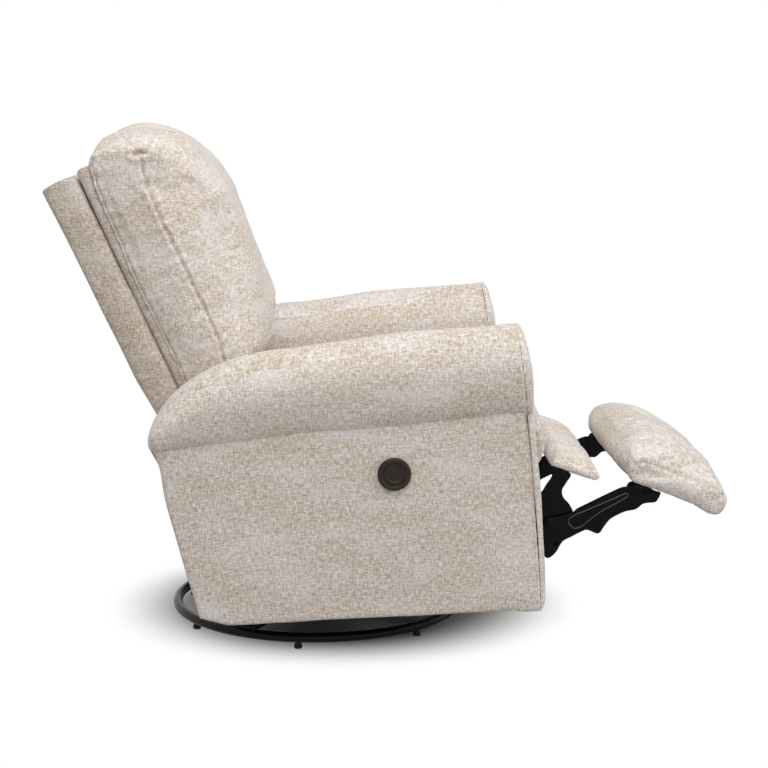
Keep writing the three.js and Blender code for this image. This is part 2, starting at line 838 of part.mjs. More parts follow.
function driveRail() {
  const startX = motorRearX + motorLength + motorNeckLength + fitGap;
  const half = driveRailWidth / 2;
  return block(startX, driveRailFrontX, -half, half, driveRailTopZ - driveRailHeight, driveRailTopZ);
}

function powerInlet() {
  const rearFace = motorRearX - fitGap;
  const middleZ = seatRailTopZ - motorHeight / 2;
  const body = block(rearFace - inletDepth, rearFace, -inletWidth / 2, inletWidth / 2,
    middleZ - inletHeight / 2, middleZ + inletHeight / 2);
  const bore = new THREE.CylinderGeometry(inletBoreRadius, inletBoreRadius, 2 * inletBoreDepth, 14);
  bore.rotateZ(Math.PI / 2);
  bore.translate(rearFace - inletDepth, 0, middleZ);
  return cut(body, [bore]);
}

function crankPoint() {
  const angle = crankRestDegrees * degree;
  return [torqueX + crankRadius * Math.sin(angle), torqueZ - crankRadius * Math.cos(angle)];
}

function driveBlock() {
  const [x] = crankPoint();
  const lowZ = blockMiddleZ - blockHeight / 2;
  const body = block(x - blockLength / 2, x + blockLength / 2, -blockWidth / 2, blockWidth / 2,
    lowZ, lowZ + blockHeight);
  const slotRadius = crankPinRadius + blockSlotClear;
  const reach = blockWidth / 2 + cutOver;
  const slot = linkBar([x, torqueZ - crankRadius], [x, torqueZ - crankRadius + blockSlotTravel], slotRadius,
    -reach, reach);
  return cut(body, [slot]);
}

// Torque tube across the chair, with round shaft ends in the seat rails and one crank for the drive
function torqueTube() {
  const half = torqueTubeSide / 2;
  const reach = seatWebY[0] - layerGap;
  const [pinX, pinZ] = crankPoint();
  return joined([
    block(torqueX - half, torqueX + half, -reach, reach, torqueZ - half, torqueZ + half),
    roundBar(torqueX, torqueZ, torqueShaftRadius, -driveLinkY[1], driveLinkY[1], 20),
    linkBar([torqueX, torqueZ], [pinX, pinZ], crankWidth / 2, crankSideY, crankSideY + crankThick),
    roundBar(pinX, pinZ, crankPinRadius, -blockWidth / 2, crankSideY + layerGap),
  ]);
}

// Link fixed to the torque tube, with the elbow stud and the bracket of the middle pad
function driveLink() {
  const [inner, outer] = driveLinkY;
  const middlePad = leaning(midPadInnerX, midPadInnerZ, -midPadTiltDegrees * degree);
  const headStart = middlePad(bracketHeadX - midPadInnerX - bracketHeadWidth, -fitGap);
  const headEnd = middlePad(bracketHeadX - midPadInnerX + 2 * bracketHeadWidth, -fitGap);
  const bracket = prism([
    [bracketFootX - linkHalfWidth, upperHeelZ],
    [elbowX + linkBossRadius / 2, elbowZ + linkBossRadius / 2],
    headEnd,
    headStart,
  ], inner, outer);
  const whole = joined([
    linkBar([torqueX, torqueZ], [upperHeelX, upperHeelZ], linkHalfWidth, inner, outer),
    linkBar([upperHeelX, upperHeelZ], [elbowX, elbowZ], linkBossRadius, inner, outer),
    roundBar(torqueX, torqueZ, torqueBossRadius, inner, outer, 20),
    bracket,
  ]);
  const bores = [
    roundBar(torqueX, torqueZ, torqueShaftRadius + fitGap, inner - cutOver, outer + cutOver, 20),
    roundBar(upperHeelX, upperHeelZ, pivotStudRadius + runGap, inner - cutOver, outer + cutOver),
  ];
  const stud = roundBar(elbowX, elbowZ, pivotStudRadius, outer - studEndGap, mainLinkY[1]);
  return joined([cut(whole, bores), stud]);
}

function lowLink() {
  const [inner, outer] = lowLinkY;
  return cut(linkBar([lowStudX, lowStudZ], [armToTailX, armToTailZ], linkHalfWidth, inner, outer), [
    roundBar(lowStudX, lowStudZ, lowStudRadius + runGap, inner - cutOver, outer + cutOver),
    roundBar(armToTailX, armToTailZ, pivotStudRadius + openPivotGap, inner - cutOver, outer + cutOver),
  ]);
}

// Main link of the footrest: a wide plate with a lobed lower edge
function mainLink() {
  const [inner, outer] = mainLinkY;
  const elbow = [elbowX, elbowZ];
  const toe = [padPivotX, padPivotZ];
  const turn = Math.atan2(padPivotZ - elbowZ, padPivotX - elbowX);
  const run = Math.hypot(padPivotX - elbowX, padPivotZ - elbowZ);
  const along = leaning(elbowX, elbowZ, turn);
  const lobes = lobeShares.map((share) => {
    const start = along(run * share - lobeRadius, -lobeOffset / 2);
    return linkBar(start, along(run * share, -lobeOffset), lobeRadius, inner, outer);
  });
  const half = linkHalfWidth * mainLinkEdgeShare;
  const whole = joined([
    linkBar(elbow, toe, half, inner, outer),
    linkBar(elbow, [armToTailX, armToTailZ], linkBossRadius, inner, outer),
    linkBar(along(0, -half), along(run * mainLinkRunShare, -half), half, inner, outer),
    roundBar(...toe, linkHalfWidth, inner, outer),
    ...lobes,
  ]);
  const bores = [elbow, toe].map(([x, z]) => (
    roundBar(x, z, pivotStudRadius + runGap, inner - cutOver, outer + cutOver)));
  const stud = roundBar(armToTailX, armToTailZ, pivotStudRadius, lowLinkY[0], inner + studEndGap);
  return joined([cut(whole, bores), stud]);
}

function upperLink() {
  const [inner, outer] = upperLinkY;
  return joined([
    linkBar([upperHeelX, upperHeelZ], [upperToeX, upperToeZ], linkHalfWidth, inner, outer),
    roundBar(upperHeelX, upperHeelZ, pivotStudRadius, driveLinkY[0], inner + studEndGap),
    roundBar(upperToeX, upperToeZ, pivotStudRadius, driveLinkY[0], inner + studEndGap),
  ]);
}

// Frame of the main pad's underside: along runs outwards, off stands up out of the pad
const padPlace = leaning(padInnerX, padInnerZ, -padTiltDegrees * degree);

function padBracket() {
  const [inner, outer] = driveLinkY;
  const [startShare, endShare] = padBracketRunShares;
  const start = padPlace(startShare * padLength, -fitGap);
  const end = padPlace(endShare * padLength, -fitGap);
  const whole = joined([
    linkBar([upperToeX, upperToeZ], [padPivotX, padPivotZ], linkBossRadius, inner, outer),
    prism([
      start,
      [upperToeX, upperToeZ - linkHalfWidth / 2],
      [padPivotX, padPivotZ - linkHalfWidth / 2],
      end,
    ], inner, outer),
  ]);
  const above = prism([padPlace(-padLength, -fitGap), padPlace(padLength, -fitGap),
    padPlace(padLength, padLength), padPlace(-padLength, padLength)], inner - cutOver, outer + cutOver);
  const boreRadius = pivotStudRadius + openPivotGap;
  const bore = roundBar(upperToeX, upperToeZ, boreRadius, inner - cutOver, outer + cutOver);
  const stud = roundBar(padPivotX, padPivotZ, pivotStudRadius, outer - studEndGap, mainLinkY[1]);
  return joined([cut(whole, [bore, above]), stud]);
}

function padBoardOutline(gap) {
  return [
    padPlace(padBoardInset - gap, -gap),
    padPlace(padLength - padBoardInset + gap, -gap),
    padPlace(padLength - padBoardInset + gap, padBoardThick + gap),
    padPlace(padBoardInset - gap, padBoardThick + gap),
  ];
}

function mainPad() {
  const edge = padEdgeThick;
  const rowShares = [
    [0.02, 0, 0, 0],
    [0.94, 0, 0, 0],
    [0.985, 0.16, 0.5, 0.05],
    [1, 0.45, 0.8, 0.1],
    [0.985, 0.76, 0.5, 0.3],
    [0.93, 0.94, 0, 0.55],
    [0.82, 1, 0, 0.82],
    [0.62, 1, 0, 1],
    [0.4, 1, 0, 1],
    [0.2, 1, 0, 0.85],
    [0.06, 0.98, 0, 0.5],
    [0, 0.8, -0.5, 0.3],
    [-0.01, 0.4, -0.5, 0.1],
  ];
  const rows = rowShares.map(([along, up, growAlong, growUp]) => (
    [along * padLength, up * edge, growAlong * padNose, growUp * padCrown]));
  const pocket = prism(padBoardOutline(fitGap), -padBoardHalfWidth - fitGap, padBoardHalfWidth + fitGap);
  return cut(cushion(padHalfWidth, rows, padPlace), [pocket]);
}

function midPad() {
  const rowShares = [
    [0, 0, 0],
    [0.93, 0, 0],
    [1, 0.45, 0.2],
    [0.92, 0.95, 0.6],
    [0.7, 1, 1],
    [0.4, 1, 1],
    [0.12, 1, 0.8],
    [0, 0.75, 0.3],
  ];
  const rows = rowShares.map(([along, up, grow]) => (
    [along * midPadLength, up * midPadThick, 0, grow * midPadCrown]));
  return cushion(midPadHalfWidth, rows, leaning(midPadInnerX, midPadInnerZ, -midPadTiltDegrees * degree));
}

// Frame of the back's front face: along runs up it, off stands forward of it
const backPlace = (() => {
  const place = leaning(backX, backZ, Math.PI / 2 + backLeanDegrees * degree);
  return (along, off) => place(along, -off);
})();

function outerBack() {
  const shell = prism([
    backPlace(-backLow, 0),
    backPlace(backTop, 0),
    backPlace(backTop + backTopRound, -backTopRound),
    backPlace(backTop + backTopRound + backTopRearRise, -backTopThick + backTopRound),
    backPlace(backTop + backTopRearRise, -backTopThick),
    backPlace(-backLow, -backLowThick),
  ], -backHalfWidth, backHalfWidth);
  const reach = backHalfWidth - pocketRim;
  const pocket = prism([
    backPlace(-backLow - cutOver, -pocketDepth),
    backPlace(-backLow - cutOver, cutOver),
    backPlace(pocketTop, cutOver),
    backPlace(pocketTop, -pocketDepth),
  ], -reach, reach);
  return cut(shell, [pocket]);
}

function backFrame() {
  const deep = -pocketDepth + fitGap;
  return prism([
    backPlace(-backFrameLow, deep),
    backPlace(pocketTop - fitGap, deep),
    backPlace(pocketTop - fitGap, deep + backFrameThick),
    backPlace(-backFrameLow, deep + backFrameThick),
  ], fitGap - lowLinkY[0], lowLinkY[0] - fitGap);
}

// Bracket that hangs the back on the recline pin and runs up beside the back's wooden frame
function backBracket() {
  const [inner, outer] = lowLinkY;
  const off = -pocketDepth / 2;
  const bend = backPlace(-backFrameLow - bracketRun / 2, off);
  const whole = joined([
    linkBar([reclineX, reclineZ], bend, bracketRadius, inner, outer),
    linkBar(bend, backPlace(bracketRun, off), bracketRadius, inner, outer),
    roundBar(reclineX, reclineZ, reclineBossRadius, inner, outer, 18),
  ]);
  const bore = roundBar(reclineX, reclineZ, reclinePinRadius + runGap, inner - cutOver, outer + cutOver);
  return cut(whole, [bore]);
}

// Frame of the pillow's rear face, in the same manner
const pillowPlace = (() => {
  const place = leaning(pillowX, pillowZ, Math.PI / 2 + pillowLeanDegrees * degree);
  return (along, off) => place(along, -off);
})();

// Thin padded panel between the outer back and the pillow
function innerBack() {
  return prism([
    backPlace(gussetLow, fitGap),
    backPlace(gussetTop, fitGap),
    pillowPlace(gussetTop, -fitGap),
    pillowPlace(gussetLow, -fitGap),
  ], -gussetHalfWidth, gussetHalfWidth);
}

// Loose-look back pillow: a box cushion with a full front and a rounded top
function backPillow() {
  const edgeShares = [
    [0, 0], [0.985, 0], [1, 0.25], [0.99, 0.54], [0.97, 0.8], [0.94, 1], [0.824, 1.03],
    [0.688, 1.03], [0.527, 1], [0.296, 0.96], [0.146, 0.92], [0.05, 0.86], [0.01, 0.74],
  ];
  const topShares = [0, 0.2, 0.7, 0.92, 0.8, 0.2, -0.1, -0.1, -0.1, -0.1, -0.1, 0, 0];
  const frontShares = [0, 0, 0, 0.1, 0.32, 0.64, 0.9, 0.98, 1, 1, 0.92, 0.7, 0.3];
  const rows = edgeShares.map(([along, off], i) => (
    [along * pillowLength, off * pillowBox, topShares[i] * pillowTopCrown, frontShares[i] * pillowCrown]));
  return cushion(pillowHalfWidth, rows, pillowPlace);
}

add('base_ring', floorRing(), blackSteel);
add('base_cross', floorCross(), blackSteel);
add('lower_race', race(lowerRaceZ), blackSteel);
add('upper_race', race(upperRaceZ), blackSteel);
add('swivel_pin', swivelPin(), blackSteel);
add('swivel_plate', swivelPlate(), blackSteel);
add('front_rail', crossRail(frontRailX, frontRailDepth), barePlywood);
add('rear_rail', crossRail(rearRailX, rearRailDepth), barePlywood);
add('rear_panel', rearPanel(), fabric);
add('switch_bezel', switchBezel(), bronzePlastic);
add('switch_button', switchButton(), bronzePlastic);
add('seat_front_board', seatBoard(frontBoardX, frontBoardDepth), barePlywood);
add('seat_rear_board', seatBoard(rearBoardX, rearBoardDepth), barePlywood);
add('seat_springs', seatSprings(), springSteel);
add('seat_cushion', seatCushion(), fabric);
add('motor_housing', motorHousing(), blackPlastic);
add('drive_rail', driveRail(), blackSteel);
add('drive_block', driveBlock(), blackPlastic);
add('power_inlet', powerInlet(), blackPlastic);
add('torque_tube', torqueTube(), blackSteel);
add('footrest_board', prism(padBoardOutline(0), -padBoardHalfWidth, padBoardHalfWidth), barePlywood);
add('main_footrest_pad', mainPad(), fabric);
add('mid_footrest_pad', midPad(), fabric);
add('back_frame', backFrame(), barePlywood);
add('outer_back', outerBack(), fabric);
add('inner_back', innerBack(), fabric);
add('back_pillow', backPillow(), fabric);

for (const [word, side] of Object.entries(sides)) {
  const pair = [
    ['glide_side', glideSide(), blackSteel],
    ['glide_link_front', glideLink(glideHalfSpan), blackSteel],
    ['glide_link_rear', glideLink(-glideHalfSpan), blackSteel],
    ['mech_rail', mechRail(), blackSteel],
    ['arm', armRoll(), fabric],
    ['arm_facing', armFacing(), fabric],
    ['seat_rail', seatRail(), blackSteel],
    ['drive_link', driveLink(), blackSteel],
    ['low_link', lowLink(), blackSteel],
    ['main_link', mainLink(), blackSteel],
    ['upper_link', upperLink(), blackSteel],
    ['pad_bracket', padBracket(), blackSteel],
    ['back_bracket', backBracket(), blackSteel],
  ];
  for (const [name, geometry, material] of pair) {
    add(`${name}_${word}`, onSide(geometry, side), material);
  }
  const boardOuterY = armPanelOuterY - armPanelThick - fitGap;
  const board = armPanel(boardOuterY - armBoardThick, boardOuterY, boardInset, 0);
  add(`arm_board_${word}`, onSide(board, side), barePlywood);
  add(`side_panel_${word}`, sidePanel(side), fabric);
}

// The origin is on the floor, under the middle of the chair as it is drawn
const reach = new THREE.Box3().setFromObject(chair);
chair.position.x = -(reach.min.x + reach.max.x) / 2;
const whole = new THREE.Group();
whole.add(chair);

export default whole;
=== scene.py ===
"""Looks of a power swivel glider recliner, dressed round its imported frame.

Metres throughout, +Z up, +X towards the footrest and +Y to the sitter's left. Sizes are measured
from the swivel axis at the floor, and place() turns them into places in the frame.
"""

import json
import logging
import math
from collections.abc import Callable, Sequence
from dataclasses import dataclass, field
from enum import Enum

import bmesh
import bpy
import numpy as np
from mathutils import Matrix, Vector
from mathutils.bvhtree import BVHTree


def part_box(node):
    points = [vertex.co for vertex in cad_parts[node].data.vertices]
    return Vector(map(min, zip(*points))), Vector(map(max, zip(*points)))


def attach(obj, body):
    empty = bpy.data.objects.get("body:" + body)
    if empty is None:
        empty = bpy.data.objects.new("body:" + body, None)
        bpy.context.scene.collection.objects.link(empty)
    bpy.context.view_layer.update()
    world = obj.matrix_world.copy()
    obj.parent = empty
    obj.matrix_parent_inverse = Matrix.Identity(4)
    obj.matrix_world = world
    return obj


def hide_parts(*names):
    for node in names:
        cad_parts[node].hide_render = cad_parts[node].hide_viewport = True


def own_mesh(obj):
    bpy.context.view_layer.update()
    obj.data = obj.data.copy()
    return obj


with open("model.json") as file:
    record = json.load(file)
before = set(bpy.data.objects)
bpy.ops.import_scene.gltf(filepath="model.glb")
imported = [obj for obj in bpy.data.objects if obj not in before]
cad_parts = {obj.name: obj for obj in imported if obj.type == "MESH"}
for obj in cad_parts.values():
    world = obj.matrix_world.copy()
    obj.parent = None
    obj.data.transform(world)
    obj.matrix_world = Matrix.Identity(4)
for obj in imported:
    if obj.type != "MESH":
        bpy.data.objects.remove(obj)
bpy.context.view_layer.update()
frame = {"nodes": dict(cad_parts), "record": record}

log = logging.getLogger("recliner")

RING_LOW, RING_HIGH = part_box("base_ring")
AXIS_X = (RING_LOW.x + RING_HIGH.x) / 2
Colour = tuple[float, float, float]
Shape = Callable[[np.ndarray], np.ndarray]


class Side(Enum):
    """The sitter's two sides, with the sign of Y on each."""

    LEFT = 1
    RIGHT = -1

    @property
    def word(self) -> str:
        """The side's name as the frame's nodes write it."""
        return self.name.lower()


class Reach(Enum):
    """How a cushion is held while it is filled."""

    FREE = 0
    FLAT_BASE = 1


def place(x: float, y: float, z: float) -> Vector:
    """A point measured from the swivel axis, in the frame."""
    return Vector((AXIS_X + x, y, z))


def srgb(red: int, green: int, blue: int) -> Colour:
    """A colour written in 0 to 255 steps, as linear light.

    Args:
        red: red step.
        green: green step.
        blue: blue step.

    Returns:
        The linear colour.
    """
    def linear(step: int) -> float:
        """One channel as linear light."""
        share = step / 255
        return share / 12.92 if share <= 0.04045 else ((share + 0.055) / 1.055) ** 2.4

    return linear(red), linear(green), linear(blue)


def clustered(count: int) -> np.ndarray:
    """Shares from 0 to 1 that crowd towards both ends.

    Args:
        count: how many shares.

    Returns:
        The shares.
    """
    return (1 - np.cos(np.linspace(0, math.pi, count))) / 2


def soft_step(share: float) -> float:
    """A smooth step from 0 to 1, held at both ends."""
    share = min(max(share, 0.0), 1.0)
    return share * share * (3 - 2 * share)


def soft_edge(distance: np.ndarray, radius: float, power: float) -> np.ndarray:
    """How far a padded face has risen at a distance from its edge.

    Args:
        distance: distances from the edge.
        radius: where it has risen fully.
        power: 2 for a round edge, more for a boxy one.

    Returns:
        Shares from 0 at the edge to 1.
    """
    inner = 1 - np.clip(distance / radius, 0, 1)
    return (1 - inner**power) ** (1 / power)


class Lumps:
    """Seeded, smooth unevenness made of a few plane waves."""

    def __init__(self, wavelength: float, seed: int, count: int = 10) -> None:
        """Draws the waves.

        Args:
            wavelength: about the size of one lump.
            seed: which pattern.
            count: how many waves.
        """
        draw = np.random.default_rng(seed)
        ways = draw.normal(size=(count, 3))
        ways /= np.linalg.norm(ways, axis=1, keepdims=True)
        self.waves = ways * (2 * math.pi / (wavelength * draw.uniform(0.75, 1.8, (count, 1))))
        self.phases = draw.uniform(0, 2 * math.pi, count)

    def at(self, points: np.ndarray) -> np.ndarray:
        """The unevenness at each point, mostly between -1 and 1."""
        return np.sin(points @ self.waves.T + self.phases).sum(axis=1) / math.sqrt(len(self.phases))


# Meshes from points


def link(obj: bpy.types.Object) -> bpy.types.Object:
    """Puts an object into the scene."""
    bpy.context.scene.collection.objects.link(obj)
    return obj


def mesh_object(name: str, points: np.ndarray, faces: Sequence, finish: bpy.types.Material) -> bpy.types.Object:
    """Makes a smooth closed mesh whose faces point out.

    Args:
        name: the piece's name.
        points: its points, n by 3.
        faces: its faces as indices.
        finish: its material.

    Returns:
        The piece.
    """
    mesh = bpy.data.meshes.new(name)
    mesh.from_pydata([tuple(p) for p in np.asarray(points, float)], [], [tuple(f) for f in faces])
    bm = bmesh.new()
    bm.from_mesh(mesh)
    bmesh.ops.remove_doubles(bm, verts=bm.verts, dist=1e-6)
    bmesh.ops.recalc_face_normals(bm, faces=bm.faces)
    if bm.calc_volume(signed=True) < 0:
        bmesh.ops.reverse_faces(bm, faces=bm.faces)
    bm.to_mesh(mesh)
    bm.free()
    mesh.polygons.foreach_set("use_smooth", [True] * len(mesh.polygons))
    mesh.materials.append(finish)
    return link(bpy.data.objects.new(name, mesh))


def coordinates(mesh: bpy.types.Mesh) -> np.ndarray:
    """A mesh's points, n by 3."""
    flat = np.empty(len(mesh.vertices) * 3, np.float32)
    mesh.vertices.foreach_get("co", flat)
    return flat.reshape(-1, 3).astype(float)


def normals(mesh: bpy.types.Mesh) -> np.ndarray:
    """A mesh's point normals, n by 3."""
    flat = np.empty(len(mesh.vertices) * 3, np.float32)
    mesh.vertex_normals.foreach_get("vector", flat)
    return flat.reshape(-1, 3).astype(float)


def set_coordinates(mesh: bpy.types.Mesh, points: np.ndarray) -> None:
    """Moves a mesh's points."""
    mesh.vertices.foreach_set("co", points.astype(np.float32).ravel())
    mesh.update()


def apply_modifiers(obj: bpy.types.Object) -> None:
    """Replaces a piece's mesh by what its modifiers make of it."""
    graph = bpy.context.evaluated_depsgraph_get()
    made = bpy.data.meshes.new_from_object(obj.evaluated_get(graph))
    old = obj.data
    obj.modifiers.clear()
    obj.data = made
    made.name = obj.name
    bpy.data.meshes.remove(old)


def uneven(obj: bpy.types.Object, *layers: tuple[Lumps, float]) -> None:
    """Pushes a mesh's points along their normals by layers of lumps.

    Args:
        obj: the piece.
        layers: lumps, each with its height.
    """
    points = coordinates(obj.data)
    height = sum(lumps.at(points) * size for lumps, size in layers)
    set_coordinates(obj.data, points + normals(obj.data) * height[:, None])


def grid_faces(rows: int, columns: int, first: int = 0, ring: bool = False) -> list[tuple[int, ...]]:
    """Quads over a grid of points that is stored row by row.

    Args:
        rows: rows of points.
        columns: points in a row.
        first: index of the first point.
        ring: whether each row closes on itself.

    Returns:
        The faces.
    """
    faces = []
    for i in range(rows - 1):
        for j in range(columns if ring else columns - 1):
            a, b = first + i * columns + j, first + i * columns + (j + 1) % columns
            faces.append((a, b, b + columns, a + columns))
    return faces


def loft(name: str, rings: np.ndarray, finish: bpy.types.Material) -> bpy.types.Object:
    """A closed skin over rings of points, alike in count, with a fan over each end.

    Args:
        name: the piece's name.
        rings: rings by points by 3.
        finish: its material.

    Returns:
        The piece.
    """
    count, size = rings.shape[:2]
    points = np.concatenate([rings.reshape(-1, 3), [rings[0].mean(0), rings[-1].mean(0)]])
    faces = grid_faces(count, size, ring=True)
    last = (count - 1) * size
    for j in range(size):
        after = (j + 1) % size
        faces += [(after, j, count * size), (last + j, last + after, count * size + 1)]
    return mesh_object(name, points, faces, finish)


def smooth_line(points: Sequence[Sequence[float]], steps: int, closed: bool = False) -> np.ndarray:
    """A smooth curve through points.

    Args:
        points: the points, each of any length.
        steps: how many points come back.
        closed: whether it closes on itself.

    Returns:
        The curve's points, evenly spaced by share.
    """
    given = np.asarray(points, float)
    padded = np.concatenate([given[-1:], given, given[:2]] if closed else [given[:1], given, given[-1:]])
    spans = len(padded) - 3
    at = np.linspace(0, spans, steps, endpoint=not closed)
    index = np.minimum(at.astype(int), spans - 1)
    t = (at - index)[:, None]
    a, b, c, d = (padded[index + k] for k in range(4))
    return 0.5 * (2 * b + (c - a) * t + (2 * a - 5 * b + 4 * c - d) * t**2 + (3 * b - a - 3 * c + d) * t**3)


@dataclass(frozen=True)
class Swell:
    """How one face of a padded panel stands off its middle."""

    rise: float | np.ndarray
    radius: float = 0.012
    power: float = 2.2
    crown: float = 0.0
    reach: float = 0.06

    def over(self, distance: np.ndarray) -> np.ndarray:
        """The height at each distance from the panel's edge."""
        crown = self.crown * (1 - np.exp(-((distance / self.reach) ** 2)))
        return self.rise * soft_edge(distance, self.radius, self.power) + crown


def padded_panel(
    name: str, middle: np.ndarray, normal: Sequence[float], front: Swell, rear: Swell, finish: bpy.types.Material
) -> bpy.types.Object:
    """A panel that swells on both faces and closes at its edges.

    Args:
        name: the piece's name.
        middle: the panel's middle sheet, rows by columns by 3.
        normal: the way its front face looks.
        front: the front face's height.
        rear: the rear face's height.
        finish: its material.

    Returns:
        The piece.
    """
    rows, columns = middle.shape[:2]
    flat = middle.reshape(-1, 3)
    grid = np.arange(rows * columns).reshape(rows, columns)
    border = np.concatenate([grid[0], grid[-1], grid[:, 0], grid[:, -1]])
    edge = flat[np.unique(border)]
    distance = np.concatenate([
        np.linalg.norm(part[:, None] - edge[None], axis=2).min(axis=1) for part in np.array_split(flat, 24)
    ])
    way = np.asarray(normal, float)
    faces = grid_faces(rows, columns)
    inside = np.ones(rows * columns, bool)
    inside[border] = False
    rear_index = np.where(inside, rows * columns + np.cumsum(inside) - 1, np.arange(rows * columns))
    points = np.concatenate([
        flat + way * front.over(distance.reshape(rows, columns)).reshape(-1, 1),
        (flat - way * rear.over(distance.reshape(rows, columns)).reshape(-1, 1))[inside],
    ])
    faces += [tuple(int(rear_index[k]) for k in reversed(face)) for face in grid_faces(rows, columns)]
    return mesh_object(name, points, faces, finish)


def lathe(name: str, profile: Sequence[tuple[float, float]], centre: Vector, axis: Vector,
          finish: bpy.types.Material, steps: int = 96) -> bpy.types.Object:
    """Turns a profile round an axis.

    Args:
        name: the piece's name.
        profile: radius and height along the axis, from one end on the axis, or as a closed loop.
        centre: where the axis starts.
        axis: the way it goes.
        finish: its material.
        steps: points round it.

    Returns:
        The piece.
    """
    turn = axis.normalized().to_track_quat("Z", "Y")
    angles = np.linspace(0, 2 * math.pi, steps, endpoint=False)
    rings = [[centre + turn @ Vector((r * math.cos(a), r * math.sin(a), h)) for a in angles] for r, h in profile]
    on_axis = profile[0][0] < 1e-6 and profile[-1][0] < 1e-6
    loop = rings if on_axis else [*rings, rings[0]]
    return mesh_object(name, np.array(loop).reshape(-1, 3), grid_faces(len(loop), steps, ring=True), finish)


def tube(name: str, path: np.ndarray, radius: float, finish: bpy.types.Material,
         closed: bool = False, sides: int = 8) -> bpy.types.Object:
    """A round bead along a path.

    Args:
        name: the piece's name.
        path: the points that it follows.
        radius: its radius.
        finish: its material.
        closed: whether the path closes on itself.
        sides: points round it.

    Returns:
        The piece.
    """
    along = np.gradient(path, axis=0)
    if closed:
        along = np.roll(path, -1, axis=0) - np.roll(path, 1, axis=0)
    along /= np.linalg.norm(along, axis=1, keepdims=True)
    helper = np.tile([0.31, 0.17, 0.93], (len(path), 1))
    one = np.cross(along, helper)
    one /= np.linalg.norm(one, axis=1, keepdims=True)
    two = np.cross(along, one)
    angles = np.linspace(0, 2 * math.pi, sides, endpoint=False)
    rings = path[:, None] + radius * (one[:, None] * np.cos(angles)[:, None] + two[:, None] * np.sin(angles)[:, None])
    if not closed:
        return loft(name, rings, finish)
    points = np.concatenate([rings, rings[:1]])
    return mesh_object(name, points.reshape(-1, 3), grid_faces(len(points), sides, ring=True), finish)


# Filled cushions and their seams


@dataclass(frozen=True)
class Filling:
    """How a cushion's cover is filled by the cloth simulation."""

    voxel: float = 0.006
    pressure: float = 4.0
    slack: float = 0.004
    most: float = 0.012
    frames: int = 20
    relax: int = 6


def fill(obj: bpy.types.Object, filling: Filling, held: Shape | None = None) -> None:
    """Remeshes a cushion, blows its cover up as cloth and keeps the result.

    Args:
        obj: the cushion.
        filling: how full it gets.
        held: says which points stay, True for each held one.
    """
    remesh = obj.modifiers.new("Voxels", "REMESH")
    remesh.mode = "VOXEL"
    remesh.voxel_size = filling.voxel
    apply_modifiers(obj)
    obj.data.polygons.foreach_set("use_smooth", [True] * len(obj.data.polygons))
    relax = obj.modifiers.new("Relax", "SMOOTH")
    relax.iterations = filling.relax
    apply_modifiers(obj)
    start = coordinates(obj.data) - normals(obj.data) * filling.slack
    set_coordinates(obj.data, start)
    simulate(obj, filling, start, held)
    finer = obj.modifiers.new("Finer", "SUBSURF")
    finer.levels = finer.render_levels = 1
    apply_modifiers(obj)
    obj.data.polygons.foreach_set("use_smooth", [True] * len(obj.data.polygons))


def simulate(obj: bpy.types.Object, filling: Filling, start: np.ndarray, held: Shape | None) -> None:
    """Runs the cloth and caps how far each point moves.

    Args:
        obj: the cushion, remeshed.
        filling: how full it gets.
        start: its points before.
        held: says which points stay.
    """
    cloth = obj.modifiers.new("Filling", "CLOTH")
    settings = cloth.settings
    settings.quality = 5
    settings.mass = 0.3
    settings.tension_stiffness = settings.compression_stiffness = 12
    settings.shear_stiffness = 5
    settings.bending_stiffness = 0.4
    settings.use_pressure = True
    settings.uniform_pressure_force = filling.pressure
    settings.effector_weights.gravity = 0
    cloth.collision_settings.use_collision = False
    cloth.point_cache.frame_start, cloth.point_cache.frame_end = 1, filling.frames
    if held is not None:
        group = obj.vertex_groups.new(name="held")
        group.add([int(i) for i in np.flatnonzero(held(start))], 1.0, "REPLACE")
        settings.vertex_group_mass = group.name
    for number in range(1, filling.frames + 1):
        bpy.context.scene.frame_set(number)
    made = obj.evaluated_get(bpy.context.evaluated_depsgraph_get()).data
    move = coordinates(made) - start
    obj.modifiers.clear()
    far = np.linalg.norm(move, axis=1, keepdims=True)
    set_coordinates(obj.data, start + move * np.minimum(1, filling.most / np.maximum(far, 1e-9)))
    obj.vertex_groups.clear()
    bpy.context.scene.frame_set(1)
    log.info("%s filled: %d points, moved %.1f mm at most", obj.name, len(start), 1000 * far.max())


@dataclass(frozen=True)
class Seam:
    """A sewn line pressed into a cover, with puckers beside it."""

    path: np.ndarray
    depth: float = 0.003
    width: float = 0.004
    lip: float = 0.0008
    pucker: float = 0.0008
    pitch: float = 0.021
    reach: float = 0.02

    def press(self, obj: bpy.types.Object) -> None:
        """Presses the seam into a piece."""
        step = 0.003
        line = evenly(self.path, step)
        points = coordinates(obj.data)
        low, high = line.min(0) - 4 * self.reach, line.max(0) + 4 * self.reach
        near = np.flatnonzero(((points > low) & (points < high)).all(axis=1))
        nearest = np.empty(len(near), int)
        distance = np.empty(len(near))
        for part in np.array_split(np.arange(len(near)), max(1, len(near) // 4000)):
            gaps = np.linalg.norm(points[near[part]][:, None] - line[None], axis=2)
            nearest[part] = gaps.argmin(axis=1)
            distance[part] = gaps.min(axis=1)
        along = nearest * step
        wobble = np.sin(2 * math.pi * along / self.pitch + 1.7 * np.sin(along / (1.9 * self.pitch)))
        height = -self.depth * np.exp(-((distance / self.width) ** 2))
        height += self.lip * np.exp(-(((distance - 2.2 * self.width) / (1.3 * self.width)) ** 2))
        height += self.pucker * wobble * np.exp(-distance / self.reach)
        points[near] += normals(obj.data)[near] * height[:, None]
        set_coordinates(obj.data, points)


